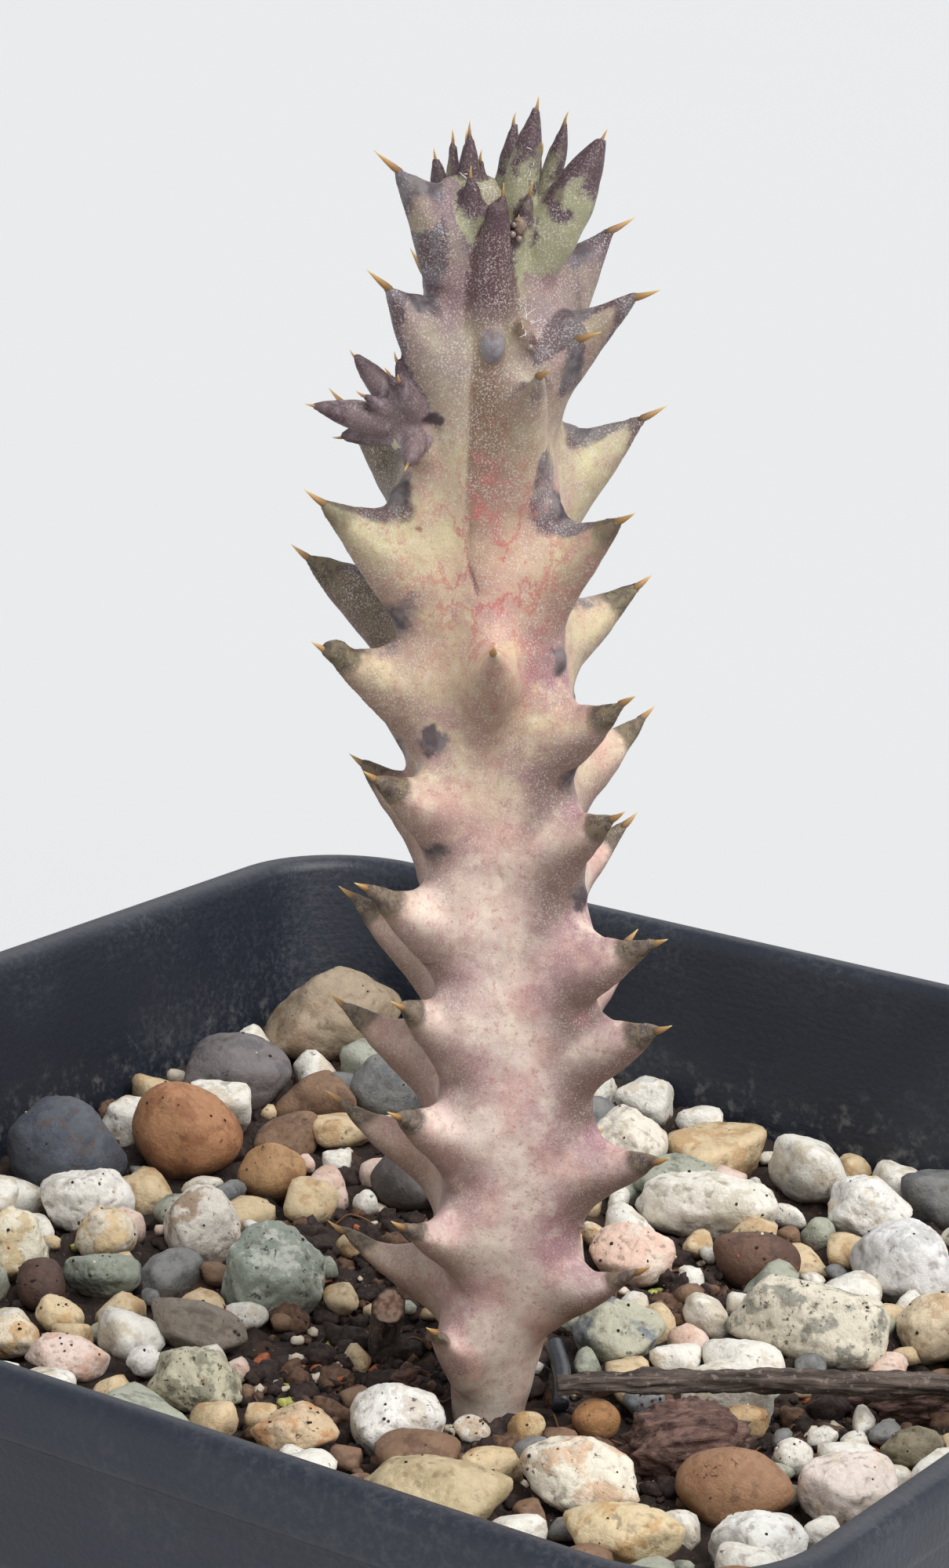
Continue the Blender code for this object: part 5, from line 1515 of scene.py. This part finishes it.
# Sliver
# A narrow strip torn from a thin blue-black plastic pot, glossy and a little bent, which leans against the
# stem's foot.

SLIVER = [(4.2, 1.6, 63.7), (6.4, -1.0, 63.5), (8.2, -3.9, 63.2)]
SLIVER_RADIUS, SLIVER_FLATNESS = 0.5, 0.8
SLIVER_RINGS, SLIVER_SIDES = 40, 16

sliver_finish = Finish("glossy_sliver", Specular_IOR_Level=0.6)
sliver_wear = sliver_finish.noise(1.4, 4.0)
sliver_colour = sliver_finish.mix(sliver_wear, paint(20, 23, 30), paint(44, 49, 60))
sliver_skin = sliver_finish.dress(sliver_colour, roughness=0.22 + sliver_wear * 0.2, relief=sliver_wear,
                                  depth=0.05)
points, faces = tube(curve_through(SLIVER, SLIVER_RINGS), [SLIVER_RADIUS] * SLIVER_RINGS, SLIVER_SIDES,
                     flat=SLIVER_FLATNESS)
plastic_strip = build("plastic_strip", points, faces, sliver_skin)
fit(plastic_strip, "sliver", "plastic_sliver")


# Small gravel
# Stones of 1 to 6 mm that lie half sunk between and under the loose ones, so that hardly any soil shows
# except by the stem.

GRAVEL_SEED = 23

# Rounds of scattering: tries, and the smallest and the largest radius.
GRAVEL_ROUNDS = [(600, 2.0, 2.9), (1500, 1.3, 2.0), (2200, 0.8, 1.3), (1600, 0.45, 0.8)]
GRAVEL_FLATS = 9

# Places with bare soil: x, y and radius.
BARE_PATCHES = [(4.3, -4.6, 4.7), (-4.6, -4.4, 5.2), (-2.8, -9.2, 3.6), (7.2, -9.4, 2.0), (20.6, 5.8, 4.4),
                (15.4, -6.2, 3.2), (4.4, 14.8, 3.0), (-11.0, 7.0, 5.4)]
ROD_ROOM, STEM_ROOM, WALL_ROOM = 0.9, 3.1, 0.3

# Each colour of gravel: its share, main colour, patches and specks.
GRAVEL_KINDS = {
    "white": (36, paint(230, 226, 216), paint(206, 194, 174), paint(100, 90, 78)),
    "tan": (26, paint(210, 188, 152), paint(190, 158, 118), paint(104, 80, 60)),
    "brown": (9, paint(134, 106, 84), paint(108, 82, 66), paint(64, 48, 40)),
    "grey": (12, paint(128, 128, 126), paint(100, 102, 106), paint(64, 64, 66)),
    "green": (11, paint(164, 166, 150), paint(128, 132, 120), paint(76, 78, 72)),
    "pink": (6, paint(222, 198, 184), paint(208, 176, 158), paint(134, 102, 90)),
}

hulls = [node_hull(name) for name in (*STONES, *BARK)]
hull_normals = np.concatenate([normals for _, normals, _ in hulls])
hull_offsets = np.concatenate([depths + normals @ middle for middle, normals, depths in hulls])
hull_starts = np.cumsum([0] + [len(normals) for _, normals, _ in hulls[:-1]])
rods = curve_through(TWIG, 30) + curve_through(STUB, 8) + curve_through(SLIVER, 10)
rod_points = np.array([p[:] for p in rods])
half = inner_half(SOIL_LEVEL)


def room_for(spot):
    """Distance from a point to the nearest loose stone, stick, stem or wall."""
    corner = inner_corner(SOIL_LEVEL)
    to_hull = np.maximum.reduceat(hull_normals @ spot - hull_offsets, hull_starts).min()
    to_rod = np.linalg.norm(rod_points - spot, axis=1).min() - ROD_ROOM
    to_stem = math.hypot(spot[0] - STEM_X, spot[1] - STEM_Y) - STEM_ROOM
    to_wall = half - WALL_ROOM - max(abs(spot[0]), abs(spot[1]))
    past = np.maximum(np.abs(spot[:2]) - (half - corner), 0.0)
    to_corner = corner - WALL_ROOM - math.hypot(*past)
    return min(to_hull, to_rod, to_stem, to_wall, to_corner)


def tumbled(points, draw, tilt):
    """Points turned round at random, and tilted by up to the given angle."""
    turn = Matrix.Rotation(draw.uniform(0, math.pi), 3, "Z")
    turn = turn @ Matrix.Rotation(draw.uniform(-tilt, tilt), 3, "X")
    return points @ np.array(turn).T


draw = random.Random(GRAVEL_SEED)
gravel = np.zeros((0, 4))
for tries, small, large in GRAVEL_ROUNDS:
    for _ in range(tries):
        x, y = draw.uniform(-half, half), draw.uniform(-half, half)
        share = draw.random()
        lift = draw.uniform(-0.1, 0.3)
        z = ground(x, y)
        free = room_for(np.array((x, y, z + 0.4)))
        if len(gravel):
            free = min(free, (np.hypot(gravel[:, 0] - x, gravel[:, 1] - y) - gravel[:, 3]).min())
        if small > 0.5 or share < 0.85:
            free = min(free, min(math.hypot(x - px, y - py) - pr for px, py, pr in BARE_PATCHES))
        if free > small:
            radius = min(free * 1.06, small + (large - small) * share)
            gravel = np.vstack([gravel, (x, y, z + radius * lift, radius)])

kinds = list(GRAVEL_KINDS)
weights = [GRAVEL_KINDS[kind][0] for kind in kinds]
heaps = {kind: [] for kind in kinds}
heap_marks = {kind: {"sunk": [], "hollow": []} for kind in kinds}
for x, y, z, radius in gravel:
    kind = draw.choices(kinds, weights)[0]
    flats = np.array([[draw.gauss(0, 1) for _ in range(3)] for _ in range(GRAVEL_FLATS)])
    flats /= np.linalg.norm(flats, axis=1, keepdims=True)
    depths = np.array([draw.uniform(0.72, 0.95) for _ in range(GRAVEL_FLATS)])
    flats = np.concatenate([flats, np.eye(3), -np.eye(3)])
    depths = np.concatenate([depths, np.ones(6)])
    ways, faces = ball(4 if radius > 1.8 else 3 if radius > 0.75 else 2)
    around = rough_radius(ways, (flats, depths), 9.0)
    around, small_bumps = weather(ways, around, draw.randint(1, 9999), 0.09, 0.03)
    stretch = np.array((draw.uniform(1.0, 1.2), draw.uniform(0.8, 1.0), draw.uniform(0.66, 0.9)))
    points = tumbled(ways * around[:, None] * (stretch * radius * 1.02), draw, 0.35) + (x, y, z)
    heaps[kind].append((points, faces))
    heap_marks[kind]["sunk"].append((points[:, 2] - z) / radius * 0.5 + 0.4)
    heap_marks[kind]["hollow"].append(np.clip(0.5 - small_bumps, 0, 1))
    # One number is drawn and left unused after each stone, which keeps the later stones as they are.
    draw.random()

for kind, heap in heaps.items():
    _, main, patch, speck = GRAVEL_KINDS[kind]
    marks = {name: np.concatenate(values) for name, values in heap_marks[kind].items()}
    finish = stone_finish(f"small_{kind}_rock", main, patch, speck, patch_size=1.8, speck_share=0.45)
    gravel_heap = build(f"grit_{kind}", *joined(heap), finish, marks)
    fit(gravel_heap, "stone_" + kind)


# Litter
# Crumbs of peat and bark, a few rust-coloured and yellow-green flakes and fine root fibres, scattered on the
# soil and on the stones.

CRUMB_COUNT, PERCHED_COUNT, FIBRE_COUNT = 2200, 420, 90
CLOD_SHARE = 0.16
LITTER_ROOM = 0.1
FIBRE_RADII = [0.07] * 10 + [0.05, 0.03]

# Each colour of crumb: its share, and its darkest and its lightest tone.
CRUMB_KINDS = {
    "dark": (64, paint(38, 30, 29), paint(68, 55, 50)),
    "brown": (22, paint(84, 62, 50), paint(116, 90, 72)),
    "rust": (4, paint(150, 80, 54), paint(176, 108, 72)),
    "pale": (7, paint(206, 190, 164), paint(226, 216, 200)),
    "green": (2, paint(146, 148, 76), paint(192, 190, 112)),
}

draw = random.Random("crumbs")
crumbs = {kind: [] for kind in CRUMB_KINDS}
kinds = list(CRUMB_KINDS)
weights = [CRUMB_KINDS[kind][0] for kind in kinds]
placed = 0
while placed < CRUMB_COUNT:
    if placed % 3:
        px, py, pr = draw.choice(BARE_PATCHES)
        x, y = draw.gauss(px, pr * 0.7), draw.gauss(py, pr * 0.7)
    else:
        x, y = draw.uniform(-half, half), draw.uniform(-half, half)
    z = crumbly(x, y)
    if room_for(np.array((x, y, z))) < LITTER_ROOM:
        continue
    placed += 1
    kind = draw.choices(kinds, weights)[0]
    clod = kind in ("dark", "brown") and draw.random() < CLOD_SHARE
    size = draw.uniform(0.5, 1.0) if clod else draw.uniform(0.2, 0.62) * draw.uniform(0.6, 1.0)
    ways, faces = ball(3 if clod else 2)
    if clod:
        jag = weather(ways, np.ones(len(ways)), draw.randint(1, 9999), 0.4, 0.24)[0]
    else:
        jag = np.array([draw.uniform(0.65, 1.15) for _ in range(len(ways))])
    stretch = np.array((draw.uniform(0.7, 1.5), draw.uniform(0.6, 1.1), draw.uniform(0.5, 0.9))) * size
    points = tumbled(ways * jag[:, None] * stretch, draw, 0.8) + (x, y, z + size * 0.25)
    crumbs[kind].append((points, faces))
for _ in range(PERCHED_COUNT):
    spots = perches[draw.randrange(len(perches))]
    size = draw.uniform(0.03, 0.13)
    ways, faces = ball(1)
    jag = np.array([draw.uniform(0.65, 1.15) for _ in range(len(ways))])
    points = ways * jag[:, None] * size + spots[draw.randrange(len(spots))]
    crumbs[draw.choices(kinds, weights)[0]].append((points, faces))
for kind, heap in crumbs.items():
    _, dark, light = CRUMB_KINDS[kind]
    finish = Finish(f"{kind}_crumb", Specular_IOR_Level=0.3)
    speck = finish.noise(2.2, 4.0, roughness=0.7)
    crumb_skin = finish.dress(finish.mix(speck.rise(0.35, 0.65), dark, light), roughness=0.75 + speck * 0.2,
                              relief=speck, depth=0.12)
    crumb_heap = build(f"crumbs_{kind}", *joined(heap), crumb_skin)
    fit(crumb_heap, "soil")

draw = random.Random("fibres")
fibres = []
while len(fibres) < FIBRE_COUNT:
    px, py, pr = draw.choice(BARE_PATCHES)
    x, y = draw.gauss(px, pr * 0.8), draw.gauss(py, pr * 0.8)
    if room_for(np.array((x, y, crumbly(x, y)))) < LITTER_ROOM:
        continue
    turn, length = draw.uniform(0, 2 * math.pi), draw.uniform(1.2, 4.0)
    path = []
    for step in range(6):
        path.append(Vector((x, y, crumbly(x, y) + 0.12 + 0.25 * math.sin(step * 0.6) * draw.random())))
        turn += draw.uniform(-0.5, 0.5)
        x += math.cos(turn) * length / 6
        y += math.sin(turn) * length / 6
    fibres.append(tube(curve_through(path, len(FIBRE_RADII)), FIBRE_RADII, 5))
fibre_finish = Finish("root_fibre", Specular_IOR_Level=0.3)
fibre_tone = fibre_finish.noise(0.9, 3.0)
fibre_skin = fibre_finish.dress(fibre_finish.mix(fibre_tone, paint(60, 40, 32), paint(140, 104, 80)),
                                roughness=0.7 + fibre_tone * 0.2, relief=fibre_tone, depth=0.03)
root_fibres = build("root_fibres", *joined(fibres), fibre_skin)
fit(root_fibres, "soil")
